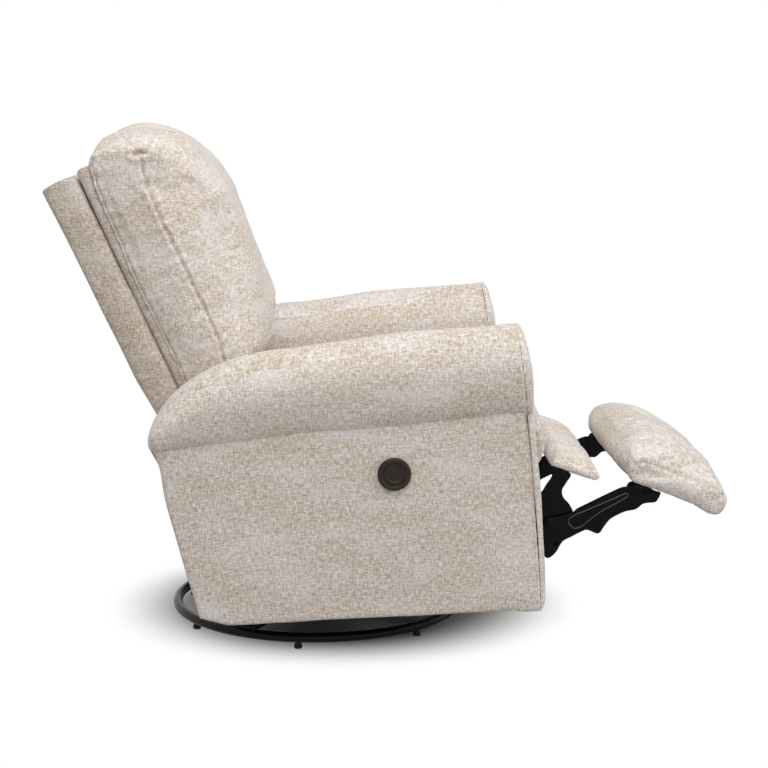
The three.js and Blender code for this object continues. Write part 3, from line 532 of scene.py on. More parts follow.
def evenly(path: np.ndarray, step: float) -> np.ndarray:
    """A path's points again, a step apart.

    Args:
        path: the path.
        step: the distance between points.

    Returns:
        The new points.
    """
    lengths = np.concatenate([[0], np.cumsum(np.linalg.norm(np.diff(path, axis=0), axis=1))])
    at = np.arange(0, lengths[-1], step)
    return np.stack([np.interp(at, lengths, path[:, axis]) for axis in range(3)], axis=1)


def settled(obj: bpy.types.Object, path: np.ndarray, lift: float = 0.0) -> tuple[np.ndarray, np.ndarray]:
    """Lays a path onto a piece's surface.

    Args:
        obj: the piece.
        path: the path.
        lift: how far over the surface it lies.

    Returns:
        The path's points on the surface, and the surface's normals there.
    """
    tree = BVHTree.FromPolygons(
        [v.co for v in obj.data.vertices], [p.vertices for p in obj.data.polygons])
    laid, ways = [], []
    for point in path:
        spot, way, _, _ = tree.find_nearest(Vector(point))
        laid.append(np.array(spot) + lift * np.array(way))
        ways.append(np.array(way))
    return np.array(laid), np.array(ways)


@dataclass(frozen=True)
class Thread:
    """A row of stitches."""

    length: float = 0.0046
    gap: float = 0.0026
    radius: float = 0.00075
    sink: float = 0.0002

    def sew(self, name: str, host: bpy.types.Object, path: np.ndarray, body: str,
            finish: bpy.types.Material) -> bpy.types.Object:
        """Sews the row onto a piece.

        Args:
            name: the row's name.
            host: the piece that it is sewn on.
            path: where it runs.
            body: the body that it rides on.
            finish: its material.

        Returns:
            The row, one mesh.
        """
        shares = np.array([-1.0, -0.82, -0.3, 0.3, 0.82, 1.0])
        bulges = np.array([0.05, 0.7, 1.0, 1.0, 0.7, 0.05])
        sides = 6
        angles = np.linspace(0, 2 * math.pi, sides, endpoint=False)
        laid, ways = settled(host, evenly(path, self.length + self.gap), -self.sink)
        points, faces = [], []
        for i in range(1, len(laid) - 1):
            along = laid[i + 1] - laid[i - 1]
            along /= max(np.linalg.norm(along), 1e-9)
            across = np.cross(along, ways[i])
            across /= max(np.linalg.norm(across), 1e-9)
            first = len(points)
            for share, bulge in zip(shares, bulges):
                centre = laid[i] + along * share * self.length / 2
                for a in angles:
                    points.append(centre + self.radius * bulge * (across * math.cos(a) + ways[i] * math.sin(a)))
            faces += grid_faces(len(shares), sides, first, ring=True)
            last = first + (len(shares) - 1) * sides
            faces += [tuple(range(first, first + sides)), tuple(range(last, last + sides))]
        row = mesh_object(name, np.array(points), faces, finish)
        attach(row, body)
        return row


# Finishes


class Graph:
    """Places nodes in a tree and links them."""

    def __init__(self, tree: bpy.types.NodeTree) -> None:
        """Keeps the tree.

        Args:
            tree: the node tree.
        """
        self.tree = tree

    def add(self, kind: str, inputs: dict | None = None, **settings: object) -> bpy.types.Node:
        """Adds a node.

        Args:
            kind: the node's type.
            inputs: values or sockets by input name or index.
            settings: the node's own properties.

        Returns:
            The node.
        """
        node = self.tree.nodes.new(kind)
        for key, value in settings.items():
            setattr(node, key, value)
        for key, value in (inputs or {}).items():
            if isinstance(value, bpy.types.NodeSocket):
                self.tree.links.new(value, node.inputs[key])
            else:
                node.inputs[key].default_value = value
        return node

    def math(self, operation: str, *values: object) -> bpy.types.NodeSocket:
        """A sum of one to three values or sockets."""
        node = self.add("ShaderNodeMath", dict(enumerate(values)), operation=operation)
        return node.outputs[0]

    def scaled(self, vector: bpy.types.NodeSocket, x: float, y: float, z: float) -> bpy.types.NodeSocket:
        """A vector times a number for each axis."""
        node = self.add("ShaderNodeVectorMath", {0: vector, 1: (x, y, z)}, operation="MULTIPLY")
        return node.outputs[0]

    def noise(self, vector: bpy.types.NodeSocket, scale: object, detail: float = 2.0,
              roughness: float = 0.5) -> bpy.types.NodeSocket:
        """A noise texture's value."""
        node = self.add("ShaderNodeTexNoise", {"Vector": vector, "Scale": scale, "Detail": detail,
                                               "Roughness": roughness})
        return node.outputs["Fac"]

    def ramp(self, value: bpy.types.NodeSocket, low: float, high: float) -> bpy.types.NodeSocket:
        """A value spread from 0 at low to 1 at high, and held there."""
        node = self.add("ShaderNodeMapRange", {"Value": value, "From Min": low, "From Max": high})
        return node.outputs[0]

    def mix(self, share: object, one: object, two: object) -> bpy.types.NodeSocket:
        """A colour between two others."""
        node = self.add("ShaderNodeMix", data_type="RGBA")
        for index, value in ((0, share), (6, one), (7, two)):
            if isinstance(value, bpy.types.NodeSocket):
                self.tree.links.new(value, node.inputs[index])
            elif index == 0:
                node.inputs[index].default_value = value
            else:
                node.inputs[index].default_value = (*value, 1)
        return node.outputs[2]


def new_group(name: str, inputs: dict[str, float], outputs: dict[str, str]) -> tuple[Graph, bpy.types.Node, bpy.types.Node]:
    """Starts a shader node group.

    Args:
        name: the group's name.
        inputs: number inputs with their first values.
        outputs: output names with their socket types.

    Returns:
        The group's graph, its input node and its output node.
    """
    tree = bpy.data.node_groups.new(name, "ShaderNodeTree")
    for key, value in inputs.items():
        socket = tree.interface.new_socket(name=key, in_out="INPUT", socket_type="NodeSocketFloat")
        socket.default_value = value
    for key, kind in outputs.items():
        tree.interface.new_socket(name=key, in_out="OUTPUT", socket_type=kind)
    graph = Graph(tree)
    return graph, graph.add("NodeGroupInput"), graph.add("NodeGroupOutput")


def heather_group() -> bpy.types.NodeTree:
    """Chenille heather: crossed slubs, soft clouds of warmer yarn, and the pile's height.

    Returns:
        The node group.
    """
    graph, given, out = new_group(
        "Chenille Heather",
        {"Yarns Per Metre": 240.0, "Slub": 0.3, "Clouds Per Metre": 11.0},
        {"Fleck": "NodeSocketFloat", "Cloud": "NodeSocketFloat", "Warm": "NodeSocketFloat",
         "Height": "NodeSocketFloat"},
    )
    where = graph.add("ShaderNodeTexCoord")
    spot = graph.add("ShaderNodeSeparateXYZ", {0: where.outputs["Object"]})
    way = graph.add("ShaderNodeSeparateXYZ", {0: where.outputs["Normal"]})
    x, y, z = spot.outputs
    on_top = graph.math("GREATER_THAN", graph.math("ABSOLUTE", way.outputs[2]), 0.68)
    faces_on = graph.math("GREATER_THAN", graph.math("ABSOLUTE", way.outputs[0]), 0.68)
    on_front = graph.math("MULTIPLY", faces_on, graph.math("SUBTRACT", 1.0, on_top))
    u = graph.math("MULTIPLY_ADD", on_front, graph.math("SUBTRACT", y, x), x)
    v = graph.math("MULTIPLY_ADD", on_top, graph.math("SUBTRACT", y, z), z)
    flat = graph.add("ShaderNodeCombineXYZ", {0: u, 1: v, 2: graph.math("MULTIPLY", on_top, 0.37)}).outputs[0]
    sway = graph.add("ShaderNodeTexNoise", {"Vector": flat, "Scale": 60.0, "Detail": 1.0})
    drift = graph.add("ShaderNodeVectorMath", {0: sway.outputs["Color"], 1: (0.5, 0.5, 0.5)}, operation="SUBTRACT")
    bent = graph.add("ShaderNodeVectorMath", {0: drift.outputs[0], 1: (0.003, 0.003, 0.0), 2: flat},
                     operation="MULTIPLY_ADD").outputs[0]
    yarns = given.outputs["Yarns Per Metre"]
    slub = given.outputs["Slub"]
    across = graph.add("ShaderNodeCombineXYZ", {0: slub, 1: 1.0, 2: 1.0}).outputs[0]
    upward = graph.add("ShaderNodeCombineXYZ", {0: 1.0, 1: slub, 2: 1.0}).outputs[0]
    weft_at = graph.add("ShaderNodeVectorMath", {0: bent, 1: across}, operation="MULTIPLY").outputs[0]
    warp_at = graph.add("ShaderNodeVectorMath", {0: bent, 1: upward}, operation="MULTIPLY").outputs[0]
    weft = graph.noise(weft_at, yarns, 2.0, 0.62)
    warp = graph.noise(warp_at, yarns, 2.0, 0.62)
    both = graph.math("ADD", graph.math("MULTIPLY", weft, 0.5), graph.math("MULTIPLY", warp, 0.5))
    fleck = graph.ramp(both, 0.37, 0.63)
    clouds = given.outputs["Clouds Per Metre"]
    wide = graph.noise(graph.scaled(bent, 0.52, 1.25, 1.0), clouds, 6.0, 0.68)
    ragged = graph.math("MULTIPLY_ADD", graph.math("SUBTRACT", both, 0.5), 0.35, wide)
    cloud = graph.ramp(ragged, 0.455, 0.605)
    streaks = graph.noise(graph.scaled(bent, 0.34, 1.7, 1.0), graph.math("MULTIPLY", clouds, 0.8), 5.0, 0.66)
    warm = graph.math("MULTIPLY", graph.ramp(streaks, 0.53, 0.66), graph.math("SUBTRACT", 1.0, cloud))
    pile = graph.noise(flat, graph.math("MULTIPLY", yarns, 2.6), 1.0)
    height = graph.math("ADD", graph.math("MULTIPLY", fleck, 0.65), graph.math("MULTIPLY", pile, 0.35))
    for name, socket in (("Fleck", fleck), ("Cloud", cloud), ("Warm", warm), ("Height", height)):
        graph.tree.links.new(socket, out.inputs[name])
    return graph.tree


def wear_group() -> bpy.types.NodeTree:
    """Handled hard surface: fine grain, dull smears and bright worn edges; on the rib's steel these lighter marks are a
    painted highlight.

    Returns:
        The node group.
    """
    graph, given, out = new_group(
        "Handled Surface",
        {"Grain Per Metre": 900.0, "Smears Per Metre": 18.0, "Edge Width": 0.0012},
        {"Smear": "NodeSocketFloat", "Edge": "NodeSocketFloat", "Height": "NodeSocketFloat"},
    )
    where = graph.add("ShaderNodeTexCoord").outputs["Object"]
    smear = graph.ramp(graph.noise(where, given.outputs["Smears Per Metre"], 4.0, 0.6), 0.35, 0.7)
    grain = graph.noise(where, given.outputs["Grain Per Metre"], 1.0)
    rounded = graph.add("ShaderNodeBevel", {"Radius": given.outputs["Edge Width"]}, samples=4).outputs[0]
    plain = graph.add("ShaderNodeNewGeometry").outputs["Normal"]
    same = graph.add("ShaderNodeVectorMath", {0: rounded, 1: plain}, operation="DOT_PRODUCT").outputs["Value"]
    edge = graph.ramp(same, 0.995, 0.9)
    wear_and_highlight = graph.math("MULTIPLY", edge, smear)
    for name, socket in (("Smear", smear), ("Edge", wear_and_highlight), ("Height", grain)):
        graph.tree.links.new(socket, out.inputs[name])
    return graph.tree


@dataclass(frozen=True)
class Cloth:
    """A heathered chenille weave."""

    name: str
    pale: Colour = srgb(221, 213, 207)
    middle: Colour = srgb(217, 205, 194)
    warm: Colour = srgb(209, 189, 166)
    tan: Colour = srgb(150, 132, 112)
    bright: Colour = srgb(238, 232, 226)
    yarns: float = 310.0
    clouds: float = 12.0
    sheen: float = 0.25

    def build(self, heather: bpy.types.NodeTree) -> bpy.types.Material:
        """Makes the material.

        Args:
            heather: the heather group.

        Returns:
            The material.
        """
        material = bpy.data.materials.new(self.name)
        material.use_nodes = True
        graph = Graph(material.node_tree)
        shader = material.node_tree.nodes["Principled BSDF"]
        weave = graph.add("ShaderNodeGroup", node_tree=heather)
        weave.inputs["Yarns Per Metre"].default_value = self.yarns
        weave.inputs["Clouds Per Metre"].default_value = self.clouds
        fleck, cloud, warm, height = (weave.outputs[key] for key in ("Fleck", "Cloud", "Warm", "Height"))
        base = graph.mix(graph.math("MULTIPLY", warm, 0.66), self.middle, self.warm)
        ground = graph.mix(cloud, base, self.pale)
        dark = graph.math("POWER", graph.math("SUBTRACT", 1.0, fleck), 1.5)
        strength = graph.math("MULTIPLY_ADD", cloud, -0.31, 0.73)
        colour = graph.mix(graph.math("MULTIPLY", dark, strength), ground, self.tan)
        bright = graph.mix(graph.math("MULTIPLY", graph.ramp(fleck, 0.62, 0.95), 0.5), colour, self.bright)
        material.node_tree.links.new(bright, shader.inputs["Base Color"])
        bump = graph.add("ShaderNodeBump", {"Height": height, "Strength": 0.55, "Distance": 0.0012})
        material.node_tree.links.new(bump.outputs[0], shader.inputs["Normal"])
        shader.inputs["Roughness"].default_value = 0.92
        shader.inputs["Specular IOR Level"].default_value = 0.18
        shader.inputs["Sheen Weight"].default_value = self.sheen
        shader.inputs["Sheen Roughness"].default_value = 0.5
        return material


@dataclass(frozen=True)
class HardCoat:
    """A coated or moulded hard surface."""

    name: str
    colour: Colour
    wear_and_highlight: Colour
    roughness: float
    metal: float = 0.0
    coat: float = 0.0
    grain: float = 900.0
    bump: float = 0.12
    specular: float = 0.5

    def build(self, wear: bpy.types.NodeTree) -> bpy.types.Material:
        """Makes the material.

        Args:
            wear: the handled surface group.

        Returns:
            The material.
        """
        material = bpy.data.materials.new(self.name)
        material.use_nodes = True
        graph = Graph(material.node_tree)
        shader = material.node_tree.nodes["Principled BSDF"]
        marks = graph.add("ShaderNodeGroup", node_tree=wear)
        marks.inputs["Grain Per Metre"].default_value = self.grain
        smear, edge, height = (marks.outputs[key] for key in ("Smear", "Edge", "Height"))
        # smears and edges mix towards the worn colour: real wear on most coats, a painted highlight on the rib's steel
        smudge_and_highlight = graph.mix(graph.math("MULTIPLY", smear, 0.25), self.colour, self.wear_and_highlight)
        colour = graph.mix(graph.math("MULTIPLY", edge, 0.6), smudge_and_highlight, self.wear_and_highlight)
        material.node_tree.links.new(colour, shader.inputs["Base Color"])
        rough = graph.math("MULTIPLY_ADD", smear, 0.16, self.roughness)
        material.node_tree.links.new(rough, shader.inputs["Roughness"])
        bump = graph.add("ShaderNodeBump", {"Height": height, "Strength": self.bump, "Distance": 0.0004})
        material.node_tree.links.new(bump.outputs[0], shader.inputs["Normal"])
        shader.inputs["Metallic"].default_value = self.metal
        shader.inputs["Specular IOR Level"].default_value = self.specular
        shader.inputs["Coat Weight"].default_value = self.coat
        shader.inputs["Coat Roughness"].default_value = 0.25
        return material


@dataclass(frozen=True)
class Plywood:
    """Bare plywood with long grain and darker pores."""

    name: str = "bare_plywood"
    light: Colour = srgb(214, 181, 134)
    dark: Colour = srgb(170, 130, 86)

    def build(self) -> bpy.types.Material:
        """Makes the material."""
        material = bpy.data.materials.new(self.name)
        material.use_nodes = True
        graph = Graph(material.node_tree)
        shader = material.node_tree.nodes["Principled BSDF"]
        where = graph.add("ShaderNodeTexCoord").outputs["Object"]
        grain = graph.noise(graph.scaled(where, 1.0, 0.06, 1.0), 90.0, 5.0, 0.6)
        pores = graph.ramp(graph.noise(graph.scaled(where, 1.0, 0.02, 1.0), 700.0, 2.0), 0.55, 0.75)
        board = graph.mix(graph.ramp(grain, 0.3, 0.7), self.light, self.dark)
        colour = graph.mix(graph.math("MULTIPLY", pores, 0.35), board, self.dark)
        material.node_tree.links.new(colour, shader.inputs["Base Color"])
        bump = graph.add("ShaderNodeBump", {"Height": pores, "Strength": 0.2, "Distance": 0.0005})
        material.node_tree.links.new(bump.outputs[0], shader.inputs["Normal"])
        shader.inputs["Roughness"].default_value = 0.75
        return material


@dataclass
class Finishes:
    """Every finish on the chair, built once."""

    cloth: bpy.types.Material = field(init=False)
    painted_shade_cloth: bpy.types.Material = field(init=False)
    thread: bpy.types.Material = field(init=False)
    steel: bpy.types.Material = field(init=False)
    rib_highlight_steel: bpy.types.Material = field(init=False)
    ring_steel: bpy.types.Material = field(init=False)
    bronze: bpy.types.Material = field(init=False)
    plastic: bpy.types.Material = field(init=False)
    wire: bpy.types.Material = field(init=False)
    rubber: bpy.types.Material = field(init=False)
    plywood: bpy.types.Material = field(init=False)

    def __post_init__(self) -> None:
        """Builds the node groups and the materials."""
        heather, wear = heather_group(), wear_group()
        self.cloth = Cloth("ivory_chenille").build(heather)
        # painted shade: a darker, warmer copy of the chenille stands in for the shade on the back slab and the inner
        # back panel
        self.painted_shade_cloth = Cloth("ivory_chenille_painted_shade", srgb(206, 195, 185), srgb(199, 185, 170), srgb(191, 170, 146),
                                srgb(134, 115, 96), srgb(221, 212, 202)).build(heather)
        self.thread = Cloth("tan_thread", srgb(192, 178, 162), srgb(176, 160, 142), srgb(170, 150, 128),
                            srgb(146, 128, 108), srgb(204, 192, 178), yarns=900.0).build(heather)
        self.steel = HardCoat("black_steel", srgb(4, 4, 5), srgb(26, 26, 29), 0.24,
                              specular=0.09).build(wear)
        # painted highlight: the rib's steel is lighter than the black steel of its plate and its smears lighter still,
        # standing in for the rib's highlight; its specular adds real highlights
        self.rib_highlight_steel = HardCoat("rib_steel_painted_highlight", srgb(30, 30, 33), srgb(96, 96, 102), 0.30, specular=0.55).build(wear)
        self.ring_steel = HardCoat("black_ring", srgb(4, 4, 5), srgb(26, 26, 29), 0.18,
                                   specular=0.13).build(wear)
        self.bronze = HardCoat("dark_bronze_plastic", srgb(35, 26, 18), srgb(78, 62, 46), 0.34,
                               grain=1600.0, specular=0.22).build(wear)
        self.plastic = HardCoat("black_plastic", srgb(32, 32, 34), srgb(70, 70, 72), 0.6, grain=1400.0,
                                bump=0.3).build(wear)
        self.wire = HardCoat("spring_wire", srgb(150, 152, 154), srgb(198, 198, 198), 0.3, 1.0).build(wear)
        self.rubber = HardCoat("black_rubber", srgb(24, 24, 24), srgb(60, 60, 60), 0.75, bump=0.3).build(wear)
        self.plywood = Plywood().build()


# The chair's own shape


@dataclass(frozen=True)
class Profile:
    """The upholstered body's outline from the side, and the roll on top of its arms."""

    low_rear: tuple[float, float] = (-0.221, 0.098)
    rear_height: float = 0.330
    rear_lean: float = 0.089
    sole: tuple[float, float] = (-0.169, 0.084)
    sole_rise: float = 0.026
    front: tuple[float, float] = (0.412, 0.128)
    front_height: float = 0.517
    front_lean: float = 0.0495
    front_lean_power: float = 1.35
    crease_rear: float = 0.418
    crease_drop: float = 0.007
    crease_rise: float = 0.071
    roll_rise: float = 0.152
    roll_end: float = 0.250
    roll_end_power: float = 0.50
    roll_swell: float = 0.005
    lip: float = 0.004
    roll_low: float = 0.50
    inner: float = 0.272
    crest: float = 0.3465
    half_roll: float = 0.0785
    outer: float = 0.4085
    tuck: float = 0.028

    def rear_x(self, z: float) -> float:
        """The rear edge at a height."""
        lean = self.low_rear[0] - self.rear_lean * (z - self.low_rear[1]) / self.rear_height
        return lean + 0.0080 * math.exp(-(((z - 0.385) / 0.045) ** 2))

    def front_x(self, z: float) -> float:
        """The front edge at a height."""
        share = max(z - self.front[1], 0.0) / self.front_height
        return self.front[0] - self.front_lean * share**self.front_lean_power

    def sole_z(self, x: float) -> float:
        """The lower edge at a place along the chair."""
        if x < self.sole[0]:
            share = (self.sole[0] - x) / (self.sole[0] - self.low_rear[0])
            return self.sole[1] + (self.low_rear[1] - self.sole[1]) * min(share, 1.0)
        lip = self.lip * soft_step((x - 0.358) / 0.024)
        return self.sole[1] + self.sole_rise * (x - self.sole[0]) / (self.front[0] - self.sole[0]) - lip

    def crease_z(self, x: float) -> float:
        """The crease under the roll."""
        rear = self.rear_x(self.crease_rear)
        return self.crease_rear + self.crease_rise * (x - rear) / (self.front[0] - rear)

    def crest_z(self, x: float) -> float:
        """The roll's top."""
        share = min(max((x - self.rear_x(self.crease_rear)) / self.roll_end, 0.004), 1.0)
        swell = self.roll_swell * math.exp(-(((x - 0.17) / 0.12) ** 2))
        return self.crease_z(x) + self.roll_rise * (1 - (1 - share) ** 2) ** self.roll_end_power + swell

    def roll_levels(self, x: float) -> tuple[float, float, float]:
        """The roll's crease, widest height and crest at a place along the chair."""
        low, high = self.crease_z(x) - self.crease_drop, self.crest_z(x)
        return low, low + self.roll_low * (high - low), high

    @property
    def end_x(self) -> float:
        """The front seam's place at the crease."""
        return self.front_x(self.crease_z(self.front[0]))


@dataclass
class Arm:
    """One arm: its padded skin, outer panel, front facing, rear end and stitching."""

    side: Side
    finishes: Finishes
    profile: Profile = field(default_factory=Profile)
    hidden: float = 0.372
    overhang: float = 0.0100
    under: float = 0.014
    stations: int = 130
    facing_thick: float = 0.0135
    facing_low: float = 0.0115
    roll_bulge: float = 0.0050
    rear_thick: float = 0.006
    panel_inner: float = 0.3885
    panel_top: float = 0.016
    body: str = "chair"

    def build(self) -> None:
        """Builds the arm's pieces."""
        word = self.side.word
        skin = self.skin()
        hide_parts(f"arm_{word}")
        panel = self.panel()
        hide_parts(f"side_panel_{word}")
        facing = self.facing()
        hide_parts(f"arm_facing_{word}")
        pieces = [skin, panel, facing, self.rear_end()]
        seed = 10 if self.side is Side.LEFT else 40
        uneven(skin, (Lumps(0.17, seed + 1), 0.0009), (Lumps(0.06, seed + 2), 0.0003))
        uneven(panel, (Lumps(0.2, seed + 3), 0.0008), (Lumps(0.07, seed + 4), 0.0003))
        uneven(facing, (Lumps(0.08, seed + 5), 0.0005),)
        seam = self.front_seam(0.0)
        outer = seam[seam[:, 2] < self.profile.crease_z(self.profile.end_x) + 0.001]
        for piece in (skin, facing, panel):
            Seam(seam, depth=0.0005, width=0.004, lip=0.0, pucker=0.0006, pitch=0.026, reach=0.016).press(piece)
        for piece in pieces:
            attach(piece, self.body)
        Thread().sew(f"facing_stitches_upper_{word}", skin, self.front_seam(0.0045)[len(outer):], self.body,
                     self.finishes.thread)
        Thread().sew(f"facing_stitches_lower_{word}", panel, self.front_seam(0.0055)[:len(outer)], self.body,
                     self.finishes.thread)
        log.info("arm %s built", word)

    def at(self, x: float, y: float, z: float) -> Vector:
        """A point on this side of the chair."""
        return place(x, self.side.value * y, z)

    def outline(self, x: float) -> list[tuple[float, float]]:
        """The arm's section: hidden wall, roll, inner wall and underside, as Y and Z.

        Args:
            x: where along the chair.

        Returns:
            The section's points.
        """
        p = self.profile
        low, middle, high = p.roll_levels(x)
        outer = p.crest + p.half_roll
        sole = max(p.sole_z(x) + 0.004, p.low_rear[1])
        points = [(self.hidden, sole + share * (low - 0.006 - sole)) for share in (0, 0.3, 0.6, 0.9, 1)]
        points += [(self.hidden + 0.012, low - 0.001), (outer - p.tuck - 0.008, low)]
        for i in range(14):
            angle = -math.pi / 2 * (1 - i / 14)
            points.append((outer - p.tuck + p.tuck * math.cos(angle), middle + (middle - low) * math.sin(angle)))
        for i in range(45):
            angle = math.pi * i / 44
            points.append((p.crest + p.half_roll * math.cos(angle), middle + (high - middle) * math.sin(angle)))
        bottom = sole + 0.01
        start = middle - 0.012
        for share in np.linspace(0, 1, 30):
            ease = 0.004 * min(1.0, share * 6)
            points.append((p.crest - p.half_roll + ease, start + share * (bottom - start)))
        points += [(p.inner + 0.003, sole + 0.002), (p.inner + 0.012, sole), (self.hidden - 0.03, sole)]
        return points

    def skin(self) -> bpy.types.Object:
        """The roll and the inner wall in one padded skin."""
        p = self.profile
        rear = p.rear_x(p.crease_rear)
        shares = np.concatenate([np.linspace(0, 1, self.stations) ** 1.7])
        rings = []
        for share in shares:
            x = rear + share * (p.end_x - rear)
            ring = []
            for y, z in self.outline(x):
                over = self.overhang * soft_step((z - p.crease_rear + 0.010) / 0.030)
                back = p.rear_x(min(z, p.crease_rear)) - over
                ring.append(self.at(back + share * (p.front_x(z) - back), y, z))
            rings.append(ring)
        rings = np.array(rings)
        self.round_rear(rings)
        return loft(f"arm_skin_{self.side.word}", rings, self.finishes.cloth)

    def round_rear(self, rings: np.ndarray) -> None:
        """Draws the first rings in, so that the arm's rear end is round.

        Args:
            rings: the skin's rings, changed in place.
        """
        radius = 0.014
        for ring in rings:
            gap = ring[:, 0] - rings[0][:, 0]
            inset = radius * (1 - np.sqrt(np.clip(1 - (1 - np.clip(gap / radius, 0, 1)) ** 2, 0, 1)))
            middle = self.side.value * (self.profile.inner + self.profile.outer) / 2
            ring[:, 1] -= np.sign(ring[:, 1] - middle) * np.minimum(inset, np.abs(ring[:, 1] - middle))

    def panel(self) -> bpy.types.Object:
        """The outer panel, under the roll."""
        p = self.profile
        middle = []
        for up in clustered(70):
            row = []
            for along in clustered(110):
                x = self.rear_of(up) + along * (p.end_x - self.rear_of(up))
                low, high = p.sole_z(x), p.crease_z(x) + self.panel_top
                z = low + up * (high - low)
                rear = p.rear_x(min(z, p.crease_rear))
                x = rear + along * (p.front_x(z) - 0.0004 - rear)
                z = p.sole_z(x) + up * (p.crease_z(x) + self.panel_top - p.sole_z(x))
                row.append(self.at(x, self.panel_inner + self.under, z))
            middle.append(row)
        rise = self.profile.outer - self.panel_inner - self.under - 0.002
        front = Swell(rise, 0.010, 2.3, 0.0035, 0.07)
        rear = Swell(self.under, 0.006, 3.0)
        return padded_panel(f"side_panel_cover_{self.side.word}", np.array(middle), (0, self.side.value, 0),
                            front, rear, self.finishes.cloth)

    def rear_of(self, up: float) -> float:
        """The rear edge at a share of the panel's height."""
        p = self.profile
        return p.rear_x(p.low_rear[1] + up * (p.crease_rear - p.low_rear[1]))

    def end_rows(self, x_of: Callable[[float], float], x: float, inset: float) -> np.ndarray:
        """Rows across the arm's end, from the sole to the crest.

        Args:
            x_of: the end's place by height.
            x: where the roll's section is taken.
            inset: how far the rows stay inside the section.

        Returns:
            Rows by columns of points.
        """
        p = self.profile
        low, middle, high = p.roll_levels(x)
        outer = p.crest + p.half_roll
        levels = []
        for share in clustered(52)[:-1]:
            z = p.sole_z(x) + share * (low - p.sole_z(x))
            levels.append((z, p.inner, p.outer - 0.004 * (1 - share)))
        for i in range(10):
            angle = -math.pi / 2 * (1 - i / 10)
            ease = 0.004 * i / 10
            levels.append((middle + (middle - low) * math.sin(angle), p.inner - ease,
                           outer - p.tuck + p.tuck * math.cos(angle)))
        for angle in np.linspace(0, math.radians(86), 22):
            half = p.half_roll * math.cos(angle)
            levels.append((middle + (high - middle) * math.sin(angle), p.crest - half, p.crest + half))
        rows = []
        for z, inner, outer_y in levels:
            edge = min(inset, 0.4 * (outer_y - inner))
            ys = inner + edge + clustered(44) * (outer_y - inner - 2 * edge)
            rows.append([self.at(x_of(z), y, z) for y in ys])
        return np.array(rows)

    def facing(self) -> bpy.types.Object:
        """The padded facing on the arm's front."""
        p = self.profile
        rows = self.end_rows(lambda z: p.front_x(z) + 0.0004, p.end_x, 0.0)
        heights = rows[:, :, 2]
        share = np.clip((heights - p.front[1]) / 0.2, 0, 1)
        thick = self.facing_low + (self.facing_thick - self.facing_low) * np.sqrt(share)
        thick = thick + self.roll_bulge * np.exp(-(((heights - p.roll_levels(p.end_x)[1]) / 0.075) ** 2))
        low = np.clip((heights - heights.min()) / 0.024, 0, 1)
        thick = thick * np.sqrt(np.maximum(1 - (1 - low) ** 2, 0.03))
        front = Swell(thick * 0.86, 0.017, 2.0, 0.0035, 0.03)
        return padded_panel(f"arm_front_pad_{self.side.word}", rows, (1, 0, 0), front,
                            Swell(0.0003, 0.002), self.finishes.cloth)

    def rear_end(self) -> bpy.types.Object:
        """The cover over the arm's rear end."""
        p = self.profile
        rows = []
        top = p.crease_rear + 0.012
        for share in clustered(60):
            z = p.low_rear[1] + 0.002 + share * (top - p.low_rear[1] - 0.002)
            x = p.rear_x(min(z, p.crease_rear)) + 0.004
            ys = p.inner + 0.006 + clustered(40) * (p.outer - p.inner - 0.016)
            rows.append([self.at(x, y, z) for y in ys])
        return padded_panel(f"arm_rear_pad_{self.side.word}", np.array(rows), (-1, 0, 0),
                            Swell(self.rear_thick, 0.012, 2.2, 0.002, 0.04), Swell(0.003, 0.006),
                            self.finishes.cloth)

    def front_seam(self, back: float) -> np.ndarray:
        """The seam between the facing and the arm, from the sole over the roll to the inner wall.

        Args:
            back: how far behind the seam the line runs.

        Returns:
            Its points, a few millimetres apart.
        """
        p = self.profile
        low, middle, high = p.roll_levels(p.end_x)
        outer = p.crest + p.half_roll
        line = [(p.outer - 0.001, z) for z in np.arange(p.sole_z(p.front[0]) + 0.012, low - 0.002, 0.006)]
        for i in range(1, 11):
            angle = -math.pi / 2 * (1 - i / 10)
            line.append((outer - p.tuck + p.tuck * math.cos(angle), middle + (middle - low) * math.sin(angle)))
        for angle in np.linspace(0, math.pi, 40)[1:]:
            line.append((p.crest + p.half_roll * math.cos(angle), middle + (high - middle) * math.sin(angle)))
        for z in np.arange(middle - 0.01, 0.30, -0.006):
            line.append((p.inner, z))
        return np.array([self.at(p.front_x(z) - back, y, z) for y, z in line])


